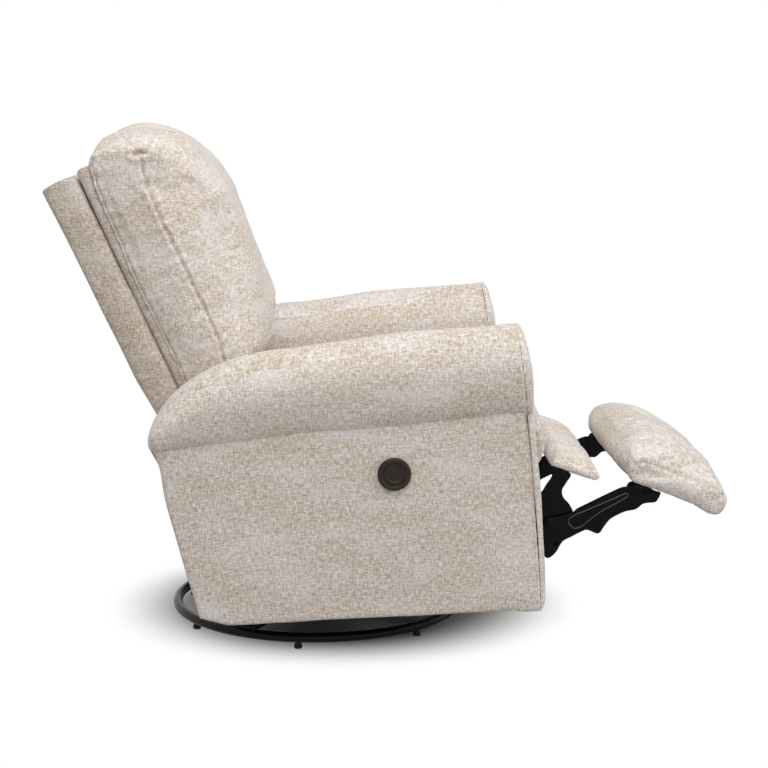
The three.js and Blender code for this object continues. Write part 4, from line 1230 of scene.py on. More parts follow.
@dataclass
class PowerSwitch:
    """The round power switch on the right panel."""

    finishes: Finishes
    x: float = 0.139
    z: float = 0.370
    face: float = 0.4123
    outer: float = 0.031
    inner: float = 0.0207
    button: float = 0.0199

    def build(self) -> None:
        """Builds the bezel and its rocking button."""
        centre = place(self.x, -self.face, self.z)
        out = Vector((0, -1, 0))
        r, s = self.outer, self.inner
        bezel = lathe("switch_bezel_ring", [
            (s, -0.0002), (s, 0.0030), (s + 0.0004, 0.0036), (s + 0.0014, 0.0040), (s + 0.0022, 0.0037),
            (s + 0.0030, 0.0036), (s + 0.0036, 0.0042), (s + 0.0050, 0.0049), (r - 0.0034, 0.0048),
            (r - 0.0016, 0.0040), (r - 0.0004, 0.0024), (r, 0.0010), (r - 0.0002, -0.0002), (s + 0.004, -0.0003),
        ], centre, out, self.finishes.bronze)
        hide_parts("switch_bezel")
        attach(bezel, "chair")
        b = self.button
        cap = lathe("switch_button_cap", [
            (0.0, 0.0026), (0.006, 0.0025), (0.010, 0.0022), (0.0116, 0.0020), (0.0122, 0.0014), (0.0130, 0.0014),
            (0.0136, 0.0022), (0.016, 0.0030), (b - 0.0014, 0.0032), (b - 0.0003, 0.0026), (b, 0.0016),
            (b, -0.003), (0.0, -0.003),
        ], centre, out, self.finishes.bronze)
        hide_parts("switch_button")
        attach(cap, "switch")
        bar = self.bar(centre)
        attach(bar, "switch")
        log.info("power switch built")

    def bar(self, centre: Vector) -> bpy.types.Object:
        """The small raised bar across the button's middle."""
        tilt = math.radians(9)
        half_long, half_wide, rise = 0.0062, 0.0019, 0.0018
        rows = []
        for across in np.linspace(-1, 1, 11):
            row = []
            for along in clustered(26) * 2 - 1:
                slim = math.sqrt(max(0.0, 1 - abs(along) ** 6))
                u, v = along * half_long, across * half_wide * slim
                row.append(centre + Vector((u * math.cos(tilt) - v * math.sin(tilt), -0.0018,
                                            u * math.sin(tilt) + v * math.cos(tilt))))
            rows.append(row)
        return padded_panel("switch_button_bar", np.array(rows), (0, -1, 0), Swell(rise, 0.0014, 2.0),
                            Swell(0.0004, 0.001), self.finishes.bronze)


class Leaning:
    """A frame of its own for what leans: along runs up or out along it, off stands away from it."""

    def __init__(self, x: float, z: float, degrees: float, flip: float = 1.0) -> None:
        """Sets the frame.

        Args:
            x: its origin's X from the swivel axis.
            z: its origin's height.
            degrees: its turn from +X.
            flip: -1 where off runs the other way.
        """
        self.x, self.z, self.flip = x, z, flip
        self.cos, self.sin = math.cos(math.radians(degrees)), math.sin(math.radians(degrees))

    def at(self, along: float, off: float, y: float) -> Vector:
        """A point in the chair."""
        off *= self.flip
        return place(self.x + along * self.cos - off * self.sin, y, self.z + along * self.sin + off * self.cos)

    @property
    def off_way(self) -> Vector:
        """The way that off runs."""
        return Vector((-self.sin * self.flip, 0, self.cos * self.flip))


def swell(share: np.ndarray | float, power: float = 3.2, root: float = 0.62) -> np.ndarray | float:
    """How full a cushion is at a share of its half width.

    Args:
        share: from -1 to 1.
        power: how flat its middle is.
        root: how steep its sides are.

    Returns:
        1 in the middle and 0 at the seams.
    """
    return np.maximum(1 - np.abs(share) ** power, 0) ** root


def cushion_rings(half: float, rows: np.ndarray, leaning: Leaning, ends: float, stations: int = 46) -> np.ndarray:
    """Rings of a cushion whose side outline grows from its seams to its middle.

    Args:
        half: its half width.
        rows: along, up, grow along and grow up, for each point of its side outline.
        leaning: its frame.
        ends: how far its side walls bulge.
        stations: rings across it.

    Returns:
        Rings by points by 3.
    """
    shares = clustered(stations) * 2 - 1
    middle = rows[:, :2].mean(axis=0)
    rings = []
    for k in (0.35, 0.6, 0.8, 0.93):
        rings.append([leaning.at(*(middle + (row[:2] - middle) * k), -half - ends * (1 - k**2.5)) for row in rows])
    for share in shares:
        full = float(swell(share))
        rings.append([leaning.at(a + ga * full, u + gu * full, share * half) for a, u, ga, gu in rows])
    for k in (0.93, 0.8, 0.6, 0.35):
        rings.append([leaning.at(*(middle + (row[:2] - middle) * k), half + ends * (1 - k**2.5)) for row in rows])
    return np.array(rings)


@dataclass
class Back:
    """The reclining back: outer slab, thin inner panel and the box pillow."""

    finishes: Finishes
    half: float = 0.266
    top: float = 0.415
    low: float = 0.200
    thick_at: tuple[float, ...] = (-0.200, -0.070, 0.030, 0.150, 0.300, 0.430)
    thicks: tuple[float, ...] = (0.050, 0.063, 0.0715, 0.0720, 0.0735, 0.0760)
    panel_low: float = -0.020
    panel_top: float = 0.452
    panel_half: float = 0.2610
    pillow_length: float = 0.470
    pillow_box: float = 0.112
    pillow_crown: float = 0.097
    pillow_top: float = 0.043
    body: str = "back"
    lean: Leaning = field(default_factory=lambda: Leaning(-0.263, 0.516, 114.6, -1.0))
    pillow_lean: Leaning = field(default_factory=lambda: Leaning(-0.248, 0.497, 111.7, -1.0))

    def build(self) -> None:
        """Builds the back's pieces."""
        self.slab()
        self.panel()
        self.pillow()
        log.info("back built")

    def finish(self, piece: bpy.types.Object, node: str, full: float) -> None:
        """Rides a soft piece on the back and hides the node that it stands for."""
        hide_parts(node)
        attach(piece, self.body)

    def slab(self) -> None:
        """The outer back, a boxy padded slab."""
        rows, thick = [], []
        for share in clustered(90):
            along = -self.low + share * (self.top + self.low + 0.016)
            deep = float(np.interp(along, self.thick_at, self.thicks))
            ys = (clustered(80) * 2 - 1) * self.half
            rows.append([self.lean.at(along + 0.004 * share, -deep / 2, y) for y in ys])
            thick.append([deep / 2] * 80)
        half = np.array(thick)
        # the slab wears the darker, warmer chenille copy, a painted shade
        piece = padded_panel("outer_back_cover", np.array(rows), self.lean.off_way,
                             Swell(half - 0.0045, 0.016, 2.0), Swell(half - 0.003, 0.011, 4.0, 0.003, 0.09),
                             self.finishes.painted_shade_cloth)
        uneven(piece, (Lumps(0.2, 71), 0.0009), (Lumps(0.07, 72), 0.0003))
        self.finish(piece, "outer_back", 0.7)

    def panel(self) -> None:
        """The thin padded panel between the slab and the pillow."""
        rows = []
        for share in clustered(60):
            along = self.panel_low + share * (self.panel_top - self.panel_low)
            rear = self.lean.at(along, 0.0006, 0)
            front = self.pillow_lean.at(along, self.pillow_rear(along) - 0.0015, 0)
            middle = (rear + front) / 2
            rows.append([Vector((middle.x, y, middle.z)) for y in (clustered(50) * 2 - 1) * self.panel_half])
        gap = [(self.pillow_lean.at(s, self.pillow_rear(s) - 0.0015, 0) - self.lean.at(s, 0.0006, 0)).length / 2
               for s in self.panel_low + clustered(60) * (self.panel_top - self.panel_low)]
        rise = np.repeat(np.array(gap)[:, None], 50, axis=1)
        # the inner panel wears the darker, warmer chenille copy, a painted shade
        piece = padded_panel("inner_back_cover", np.array(rows), self.lean.off_way,
                             Swell(rise, 0.008, 2.6), Swell(np.maximum(rise - 0.0045, 0.0015), 0.010, 2.2),
                             self.finishes.painted_shade_cloth)
        self.finish(piece, "inner_back", 0.6)

    def pillow_rear(self, along: float) -> float:
        """How far the pillow's rear face stands off at a place along it."""
        shares = along / self.pillow_length
        return self.pillow_box * float(np.interp(shares, (0, 0.22, 0.5, 0.72, 0.9, 0.99),
                                                 (0.02, -0.02, -0.075, -0.095, -0.075, -0.03)))

    def pillow_rows(self) -> np.ndarray:
        """The pillow's side outline with what each point grows by."""
        edge = [(-0.005, 0.02), (0.22, -0.02), (0.5, -0.075), (0.72, -0.095), (0.9, -0.075), (0.99, -0.03), (1.012, 0.07), (1.008, 0.27), (0.995, 0.54), (0.975, 0.8),
                (0.945, 1), (0.83, 1.03), (0.69, 1.03), (0.53, 1), (0.3, 0.96), (0.146, 0.92), (0.04, 0.86),
                (-0.01, 0.70), (-0.015, 0.3)]
        top = [0, 0, 0, 0, 0, 0.1, 0.38, 0.74, 0.9, 0.76, 0.2, -0.1, -0.1, -0.1, -0.1, -0.1, 0, 0, 0]
        front = [0, 0, 0, 0, 0, 0, 0, 0, 0.1, 0.3, 0.58, 0.86, 0.96, 0.98, 1.0, 1.04, 1.04, 0.9, 0.2]
        rows = np.array([(a * self.pillow_length, o * self.pillow_box, t * self.pillow_top, f * self.pillow_crown)
                         for (a, o), t, f in zip(edge, top, front)])
        return rows

    def pillow(self) -> None:
        """The box pillow, filled, with its seams."""
        rows = self.pillow_rows()
        rings = cushion_rings(self.half - 0.002, rows, self.pillow_lean, 0.004)
        piece = loft("back_pillow_cover", rings, self.finishes.cloth)
        rear = np.array(self.pillow_lean.at(0, 0.006, 0))
        way = np.array(self.pillow_lean.off_way)
        fill(piece, Filling(voxel=0.0055, slack=0.0015, most=0.008, relax=3), lambda points: (points - rear) @ way < 0)
        uneven(piece, (Lumps(0.11, 81), 0.0016), (Lumps(0.045, 82), 0.0005))
        points = coordinates(piece.data)
        points[:, 1] = np.clip(points[:, 1], -0.2705, 0.2705)
        set_coordinates(piece.data, points)
        self.finish(piece, "back_pillow", 0.8)
        for side in Side:
            self.pillow_seams(piece, rows, side)

    def pillow_seams(self, piece: bpy.types.Object, rows: np.ndarray, side: Side) -> None:
        """Presses and sews the seams of one side of the pillow.

        Args:
            piece: the pillow.
            rows: its side outline.
            side: which side.
        """
        y = side.value * self.half
        length, box = self.pillow_length, self.pillow_box
        front = smooth_line([tuple(self.pillow_lean.at(a * length, o * box, y)) for a, o in
                             ((0.03, 0.80), (0.09, 0.82), (0.2, 0.86), (0.44, 0.80), (0.62, 0.75), (0.8, 0.735), (0.953, 0.83))], 110)
        rear = smooth_line([tuple(self.pillow_lean.at(a * length, o * box, y)) for a, o in
                            ((0.01, 0.03), (0.22, -0.01), (0.5, -0.06), (0.72, -0.08), (0.9, -0.06), (0.98, -0.02), (1.01, 0.05))], 110)
        dart = smooth_line([tuple(self.pillow_lean.at(a * length, o * box, side.value * (self.half - i))) for a, o, i in
                            ((0.955, 0.82, 0.0), (1.0, 0.76, 0.010), (1.05, 0.68, 0.035), (1.09, 0.60, 0.075))], 40)
        front_laid, _ = settled(piece, front)
        rear_laid, _ = settled(piece, rear)
        dart_laid, _ = settled(piece, dart)
        Seam(front_laid, 0.0048, 0.0032, 0.0010, 0.0010, 0.026, 0.024).press(piece)
        Seam(rear_laid, 0.0040, 0.0042, 0.0018, 0.0012, 0.03, 0.02).press(piece)
        Seam(dart_laid, 0.0022, 0.0036, 0.0008, 0.0003).press(piece)
        notch = front_laid[-1:]
        Seam(np.concatenate([notch - (0.009, 0, 0.001), notch + (0.012, 0, 0.003)]), 0.009, 0.0045, 0.003, 0.0).press(piece)
        welt = tube(f"pillow_welt_{side.word}", settled(piece, evenly(rear_laid, 0.005), 0.0010)[0], 0.0027,
                    self.finishes.cloth)
        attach(welt, self.body)
        Thread(radius=0.0005, sink=0.0004).sew(f"pillow_stitches_{side.word}", piece, front_laid, self.body, self.finishes.thread)


@dataclass
class Seat:
    """The seat cushion between the arms."""

    finishes: Finishes
    half: float = 0.266
    rear: float = -0.142
    length: float = 0.575
    thick: float = 0.102
    crown: float = 0.020
    nose: float = 0.024
    base: float = 0.3526
    body: str = "seat"

    def build(self) -> None:
        """Builds the cushion with its side and front seams and the front stitches."""
        rows = [(0, 0, 0, 0), (0.5, 0, 0, 0)]
        rows += [(along, up, self.nose * math.sqrt(up) / self.length, up * up) for along, up in
                 ((0.985, 0), (1, 0.24), (1, 0.5), (0.985, 0.78), (0.945, 0.95))]
        rows += [(along, 1, 0, 1) for along in (0.88, 0.7, 0.45, 0.2, 0.04)]
        rows += [(0, 0.94, 0, 0.5)]
        table = np.array([(a * self.length, u * self.thick, ga * self.length, gu * self.crown)
                          for a, u, ga, gu in rows])
        lean = Leaning(self.rear, self.base, 0)
        piece = loft("seat_cushion_cover", cushion_rings(self.half - 0.002, table, lean, 0.003), self.finishes.cloth)
        fill(piece, Filling(slack=0.0015, most=0.008, relax=3), lambda points: points[:, 2] < self.base + 0.008)
        uneven(piece, (Lumps(0.13, 91), 0.0014), (Lumps(0.05, 92), 0.0005))
        points = coordinates(piece.data)
        points[:, 1] = np.clip(points[:, 1], -0.2705, 0.2705)
        points[:, 2] = np.maximum(points[:, 2], self.base)
        set_coordinates(piece.data, points)
        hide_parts("seat_cushion")
        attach(piece, self.body)
        for side in Side:
            self.side_seam(piece, lean, side)
        self.front_seam(piece, lean)
        log.info("seat built")

    def side_seam(self, piece: bpy.types.Object, lean: Leaning, side: Side) -> None:
        """The seam along one side of the cushion's top."""
        y = side.value * (self.half - 0.003)
        path = smooth_line([tuple(lean.at(a * self.length, u * self.thick, y)) for a, u in
                            ((0.03, 0.98), (0.4, 1.0), (0.8, 1.0), (0.94, 0.97), (1.0, 0.74), (1.02, 0.4), (1.0, 0.1))],
                           120)
        laid, _ = settled(piece, path)
        Seam(laid, 0.003, 0.004, 0.001, 0.001, 0.026, 0.02).press(piece)

    def front_seam(self, piece: bpy.types.Object, lean: Leaning) -> None:
        """The seam across the cushion's front, where its top panel ends."""
        ys = np.linspace(-self.half + 0.02, self.half - 0.02, 90)
        path = np.array([tuple(lean.at(self.length * 1.03, self.thick * 0.34, y)) for y in ys])
        laid, _ = settled(piece, path)
        Seam(laid, 0.003, 0.004, 0.0012, 0.001, 0.03, 0.02).press(piece)
        Thread().sew("seat_front_stitches", piece, laid, self.body, self.finishes.thread)


@dataclass
class Footrest:
    """The two footrest pads."""

    finishes: Finishes
    half: float = 0.266
    main_length: float = 0.182
    main_edge: float = 0.044
    main_crown: float = 0.046
    main_nose: float = 0.018
    middle_length: float = 0.101
    middle_thick: float = 0.016
    middle_crown: float = 0.014
    main_lean: Leaning = field(default_factory=lambda: Leaning(0.603, 0.320, -20.7))
    middle_lean: Leaning = field(default_factory=lambda: Leaning(0.447, 0.3484, -18.8))

    def build(self) -> None:
        """Builds both pads."""
        self.main_pad()
        self.middle_pad()
        log.info("footrest built")

    def main_pad(self) -> None:
        """The large outer pad."""
        shares = [
            (0.02, -0.05, 0, 0), (0.5, -0.05, 0, 0), (0.74, -0.07, 0, 0), (0.92, -0.22, 0, 0), (1.015, -0.11, 0.12, 0),
            (1.05, 0.30, 0.42, 0.05), (1.035, 0.66, 0.36, 0.2), (0.97, 0.92, 0.1, 0.34), (0.84, 1.02, 0, 0.56),
            (0.64, 1.06, 0, 0.80), (0.42, 1.07, 0, 0.99), (0.2, 1.06, 0, 1.08), (0.03, 1.03, -0.5, 0.98),
            (-0.065, 0.90, -1.15, 0.66), (-0.08, 0.52, -1.2, 0.26), (-0.035, 0.12, -0.4, 0),
        ]
        rows = np.array([(a * self.main_length, u * self.main_edge, ga * self.main_nose, gu * self.main_crown)
                         for a, u, ga, gu in shares])
        lean = self.main_lean
        piece = loft("main_pad_cover", cushion_rings(self.half - 0.004, rows, lean, 0.004), self.finishes.cloth)
        floor, way = np.array(lean.at(0, 0, 0)), np.array(lean.off_way)
        fill(piece, Filling(voxel=0.005, slack=0.0005, most=0.006, relax=3),
             lambda points: (points - floor) @ way < 0.006)
        uneven(piece, (Lumps(0.1, 101), 0.0013), (Lumps(0.04, 102), 0.0004))
        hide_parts("main_footrest_pad")
        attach(piece, "footrest")
        for side in Side:
            y = side.value * (self.half - 0.004)
            path = smooth_line([tuple(lean.at(a * self.main_length, u * self.main_edge, y)) for a, u in
                                ((0.0, 0.75), (0.06, 0.98), (0.3, 1.0), (0.6, 1.0), (0.85, 0.97), (0.98, 0.7))], 80)
            laid, _ = settled(piece, path)
            Seam(laid, 0.0018, 0.004, 0.0006, 0.0009, 0.02, 0.018).press(piece)

    def middle_pad(self) -> None:
        """The small pad between the seat and the main pad."""
        shares = [(0, 0, 0), (0.5, 0, 0), (0.93, 0, 0), (1, 0.45, 0.2), (0.92, 0.95, 0.6), (0.7, 1, 1), (0.4, 1, 1),
                  (0.12, 1, 0.8), (0, 0.75, 0.3)]
        rows = np.array([(a * self.middle_length, u * self.middle_thick, 0, gu * self.middle_crown)
                         for a, u, gu in shares])
        lean = self.middle_lean
        low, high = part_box("mid_footrest_pad")
        half = (high.y - low.y) / 2 - 0.001
        piece = loft("middle_pad_cover", cushion_rings(half, rows, lean, 0.0015), self.finishes.cloth)
        floor, way = np.array(lean.at(0, 0, 0)), np.array(lean.off_way)
        fill(piece, Filling(voxel=0.004, slack=0.0, most=0.003, relax=2),
             lambda points: (points - floor) @ way < 0.004)
        uneven(piece, (Lumps(0.07, 111), 0.0006),)
        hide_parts("mid_footrest_pad")
        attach(piece, "leg_drive")
        tuple(lean.at(0, 0, 0))
        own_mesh(piece)


@dataclass
class RearPanel:
    """The upholstered panel that closes the chair's back under the reclining slab."""

    finishes: Finishes

    def build(self) -> None:
        """Builds the panel from the node that it stands for."""
        low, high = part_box("rear_panel")
        lean_start = 0.182
        rows = []
        for share in clustered(60):
            z = low.z + 0.001 + share * (high.z - low.z - 0.002)
            back = max(0.0, z - lean_start) / (high.z - lean_start)
            x = high.x - 0.0075 - 0.038 * back
            rows.append([Vector((x, y, z)) for y in np.interp(clustered(70), (0, 1), (low.y + 0.001, high.y - 0.001))])
        piece = padded_panel("rear_panel_cover", np.array(rows), (-1, 0, 0), Swell(0.0070, 0.008, 2.6, 0.002, 0.06),
                             Swell(0.0070, 0.006, 3.0), self.finishes.cloth)
        uneven(piece, (Lumps(0.15, 121), 0.0007),)
        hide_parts("rear_panel")
        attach(piece, "chair")
        log.info("rear panel built")


@dataclass
class FloorRing:
    """The bent tube ring with its feet."""

    finishes: Finishes
    radius: float = 0.290
    tube: float = 0.0095
    foot_reach: float = 0.282
    foot_height: float = 0.014
    foot_radius: float = 0.008
    feet: int = 7
    first_foot: float = -149.7

    def build(self) -> None:
        """Builds the ring and its feet."""
        height = self.foot_height + self.tube
        angles = np.linspace(0, 2 * math.pi, 180, endpoint=False)
        path = np.array([tuple(place(self.radius * math.cos(a), self.radius * math.sin(a), height)) for a in angles])
        ring = tube("floor_ring_tube", path, self.tube, self.finishes.ring_steel, closed=True, sides=24)
        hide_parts("base_ring")
        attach(ring, "base")
        for number in range(self.feet):
            angle = math.radians(self.first_foot + 360 / self.feet * number)
            centre = place(self.foot_reach * math.cos(angle), self.foot_reach * math.sin(angle), 0)
            r, top = self.foot_radius, height - self.tube / 2
            foot = lathe(f"ring_foot_{number + 1}", [
                (0, 0), (r - 0.0018, 0), (r - 0.0005, 0.0005), (r, 0.0018), (r, 0.0060), (r - 0.0006, 0.0068),
                (r - 0.0016, 0.0072), (r - 0.0016, 0.0120), (r - 0.0006, 0.0135), (r + 0.0008, 0.0155),
                (r - 0.001, top), (0, top),
            ], centre, Vector((0, 0, 1)), self.finishes.rubber, 36)
            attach(foot, "base")
        log.info("floor ring built")


@dataclass
class Mechanism:
    """Steel, boards and small hardware that stay as the frame has them, with rivets and pressed ribs."""

    finishes: Finishes
    low_face: float = 0.248
    drive_face: float = 0.252
    main_face: float = 0.256
    upper_face: float = 0.260
    elbow: tuple[float, float] = (0.467, 0.227)
    toe: tuple[float, float] = (0.641, 0.287)
    tail: tuple[float, float] = (0.458, 0.196)
    heel: tuple[float, float] = (0.444, 0.240)
    upper_toe: tuple[float, float] = (0.617, 0.303)
    shaft: tuple[float, float] = (0.309, 0.326)
    low_stud: tuple[float, float] = (0.321, 0.270)
    recline: tuple[float, float] = (-0.165, 0.350)
    stud: float = 0.005

    def build(self) -> None:
        """Dresses the frame's nodes and adds the hardware."""
        self.dress()
        for side in Side:
            self.rivets(side)
            self.plates(side)
            self.ribs(side)
        log.info("mechanism dressed")

    def dress(self) -> None:
        """Gives each node that stays its finish and a slight edge round."""
        by_slot = {"black_steel": self.finishes.steel, "plywood": self.finishes.plywood,
                   "black_plastic": self.finishes.plastic, "bronze_plastic": self.finishes.bronze,
                   "spring_steel": self.finishes.wire}
        for row in frame["record"]["subparts"]:
            obj = frame["nodes"][row["node"]]
            finish = by_slot.get(row["material_slot"])
            if obj.hide_render or finish is None:
                continue
            obj.data.materials.clear()
            obj.data.materials.append(finish)
            bevel = obj.modifiers.new("Edge", "BEVEL")
            bevel.width = 0.0007
            bevel.segments = 2
            bevel.limit_method = "ANGLE"
            bevel.angle_limit = math.radians(40)
            bevel.harden_normals = False

    def rivets(self, side: Side) -> None:
        """The rivet heads on one side's linkage."""
        heads = [
            ("elbow", self.elbow, self.main_face, 0.0075, "leg_main"),
            ("toe", self.toe, self.main_face, 0.0052, "leg_main"),
            ("heel", self.heel, self.upper_face + 0.0002, 0.0072, "leg_upper"),
            ("upper_toe", self.upper_toe, self.upper_face + 0.0002, 0.0072, "leg_upper"),
            ("shaft", self.shaft, self.drive_face, 0.0120, "leg_drive"),
            ("low_stud", self.low_stud, self.low_face, 0.0070, "seat"),
            ("recline", self.recline, self.low_face, 0.0100, "seat"),
        ]
        for name, (x, z), face, radius, body in heads:
            rise = 0.0003 if face == self.main_face else 0.0016
            centre = place(x, side.value * (face + 0.0001), z)
            head = lathe(f"{name}_rivet_{side.word}", [
                (0, rise + 0.0006), (radius * 0.4, rise + 0.0005), (radius * 0.75, rise), (radius * 0.95, rise * 0.55),
                (radius, 0.0002), (radius, -0.0006), (0, -0.0006),
            ], centre, Vector((0, side.value, 0)), self.finishes.steel, 40)
            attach(head, body)

    def plates(self, side: Side) -> None:
        """The footrest links' pressed plates and the studs between them."""
        drive = [(0.314, 0.346), (0.330, 0.336), (0.385, 0.302), (0.415, 0.291), (0.431, 0.299), (0.439, 0.312),
                 (0.450, 0.329), (0.452, 0.3465), (0.486, 0.3345), (0.479, 0.317), (0.4705, 0.302), (0.473, 0.287),
                 (0.485, 0.273), (0.492, 0.256), (0.486, 0.236), (0.477, 0.216), (0.466, 0.209), (0.452, 0.216),
                 (0.438, 0.228), (0.385, 0.264), (0.330, 0.302), (0.305, 0.307), (0.291, 0.320), (0.294, 0.340)]
        main = [(-0.0465, -0.042), (-0.0465, -0.028), (-0.0465, -0.010), (-0.0405, 0.003), (-0.030, 0.0145),
                (-0.006, 0.0185), (0.008, 0.0185), (0.0155, 0.0105), (0.0235, 0.0060), (0.0315, 0.0085),
                (0.0355, 0.0185), (0.041, 0.0250), (0.069, 0.029), (0.1126, 0.0345), (0.140, 0.0365),
                (0.152, 0.030), (0.162, 0.015), (0.178, 0.0105), (0.190, 0.007), (0.1935, 0.000), (0.190, -0.007),
                (0.178, -0.0095), (0.1656, -0.0085), (0.150, -0.0136), (0.1305, -0.0111), (0.111, -0.0128),
                (0.096, -0.0162), (0.0823, -0.0252), (0.0705, -0.0343), (0.0630, -0.0335), (0.0529, -0.0246),
                (0.046, -0.0202), (0.033, -0.0209), (0.014, -0.0238), (-0.0041, -0.0272), (-0.0207, -0.0415),
                (-0.033, -0.048), (-0.042, -0.0485)]
        upper = [(-0.0265, 0.020), (-0.024, 0.0255), (-0.016, 0.0280), (0.010, 0.0235), (0.038, 0.0240), (0.069, 0.0270),
                 (0.112, 0.0325), (0.160, 0.0340), (0.172, 0.0315), (0.1765, 0.024), (0.173, 0.015), (0.160, 0.008),
                 (0.145, 0.002), (0.090, -0.003), (0.040, -0.0125), (0.022, -0.0145), (0.008, -0.006), (-0.012, 0.0085),
                 (-0.023, 0.013)]
        bracket = [(0.141, 0.020), (0.147, 0.034), (0.158, 0.0405), (0.1765, 0.0325), (0.1955, 0.0095), (0.2055, 0.002),
                   (0.2045, -0.003), (0.1976, -0.0099), (0.1909, -0.014), (0.1792, -0.0115), (0.1656, -0.0080),
                   (0.150, -0.0138), (0.140, -0.011), (0.138, 0.002)]
        low = [(0.3253, 0.2779), (0.3130, 0.2743), (0.3167, 0.2621), (0.390, 0.2225), (0.4547, 0.1898), (0.4642, 0.1927),
               (0.4613, 0.2022), (0.400, 0.2365)]
        drive_plane = (self.drive_face - 0.003, self.drive_face)
        rows = (
            ("low_link", "leg_low", low, (self.low_face - 0.003, self.low_face)),
            ("drive_link", "leg_drive", drive, drive_plane),
            ("main_link", "leg_main", [self.on_link(*point) for point in main], (self.main_face - 0.0034, self.main_face)),
            ("upper_link", "leg_upper", [self.on_link(*point) for point in upper],
             (self.upper_face - 0.0028, self.upper_face + 0.0002)),
            ("pad_bracket", "footrest", [self.on_link(*point) for point in bracket], drive_plane),
        )
        for name, body, outline, faces in rows:
            plate = self.plate(f"{name}_plate_{side.word}", outline, side, faces)
            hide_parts(f"{name}_{side.word}")
            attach(plate, body)
        for name, (x, z), body, start, end in (
            ("elbow", self.elbow, "leg_drive", self.drive_face, self.main_face),
            ("tail", self.tail, "leg_main", self.low_face, self.main_face),
            ("heel", self.heel, "leg_upper", self.drive_face, self.upper_face),
        ):
            stud = lathe(f"{name}_stud_{side.word}", [
                (0, 0), (self.stud, 0), (self.stud, end - start), (0, end - start),
            ], place(x, side.value * start, z), Vector((0, side.value, 0)), self.finishes.steel, 24)
            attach(stud, body)

    def on_link(self, along: float, up: float) -> tuple[float, float]:
        """X and Z of a point measured along the line from the elbow to the toe.

        Args:
            along: how far along it.
            up: how far over it.

        Returns:
            The point.
        """
        start, end = np.array(self.elbow), np.array(self.toe)
        way = (end - start) / np.linalg.norm(end - start)
        spot = start + way * along + np.array([-way[1], way[0]]) * up
        return float(spot[0]), float(spot[1])

    def plate(self, name: str, corners: Sequence[tuple[float, float]], side: Side,
              faces: tuple[float, float]) -> bpy.types.Object:
        """A flat steel plate with a smooth outline and slightly broken edges.

        Args:
            name: its name.
            corners: points round its outline, as X and Z.
            side: which side it is on.
            faces: its inner and outer face, from the middle.

        Returns:
            The plate.
        """
        line = smooth_line(corners, 6 * len(corners), closed=True)
        inner, outer = (side.value * y for y in faces)
        points = [place(x, y, z) for y in (inner, outer) for x, z in line]
        count = len(line)
        sides = grid_faces(2, count, ring=True)
        piece = mesh_object(name, np.array(points), [*sides, range(count), range(count, 2 * count)],
                            self.finishes.steel)
        piece.data.polygons.foreach_set("use_smooth", [False] * len(piece.data.polygons))
        bevel = piece.modifiers.new("Edge", "BEVEL")
        bevel.width = 0.0006
        bevel.segments = 2
        bevel.limit_method = "ANGLE"
        bevel.angle_limit = math.radians(50)
        return piece

    def ribs(self, side: Side) -> None:
        """The pressed rib on the upper link's outer plate."""
        corners = [(0.0185, 0.004), (0.022, 0.0125), (0.036, 0.0165), (0.0625, 0.0180), (0.0875, 0.0200),
                   (0.1188, 0.0222), (0.138, 0.0240), (0.1445, 0.0212), (0.139, 0.0165), (0.118, 0.0120),
                   (0.085, 0.0060), (0.056, -0.0030), (0.040, -0.0090), (0.026, -0.0080)]
        line = smooth_line([self.on_link(*corner) for corner in corners], 160, closed=True)
        path = np.array([tuple(place(x, side.value * (self.upper_face + 0.0002), z)) for x, z in line])
        # the rib wears the lighter steel, a painted highlight beside its real specular
        rib = tube(f"upper_link_rib_{side.word}", path, 0.0012, self.finishes.rib_highlight_steel, closed=True, sides=10)
        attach(rib, "leg_upper")


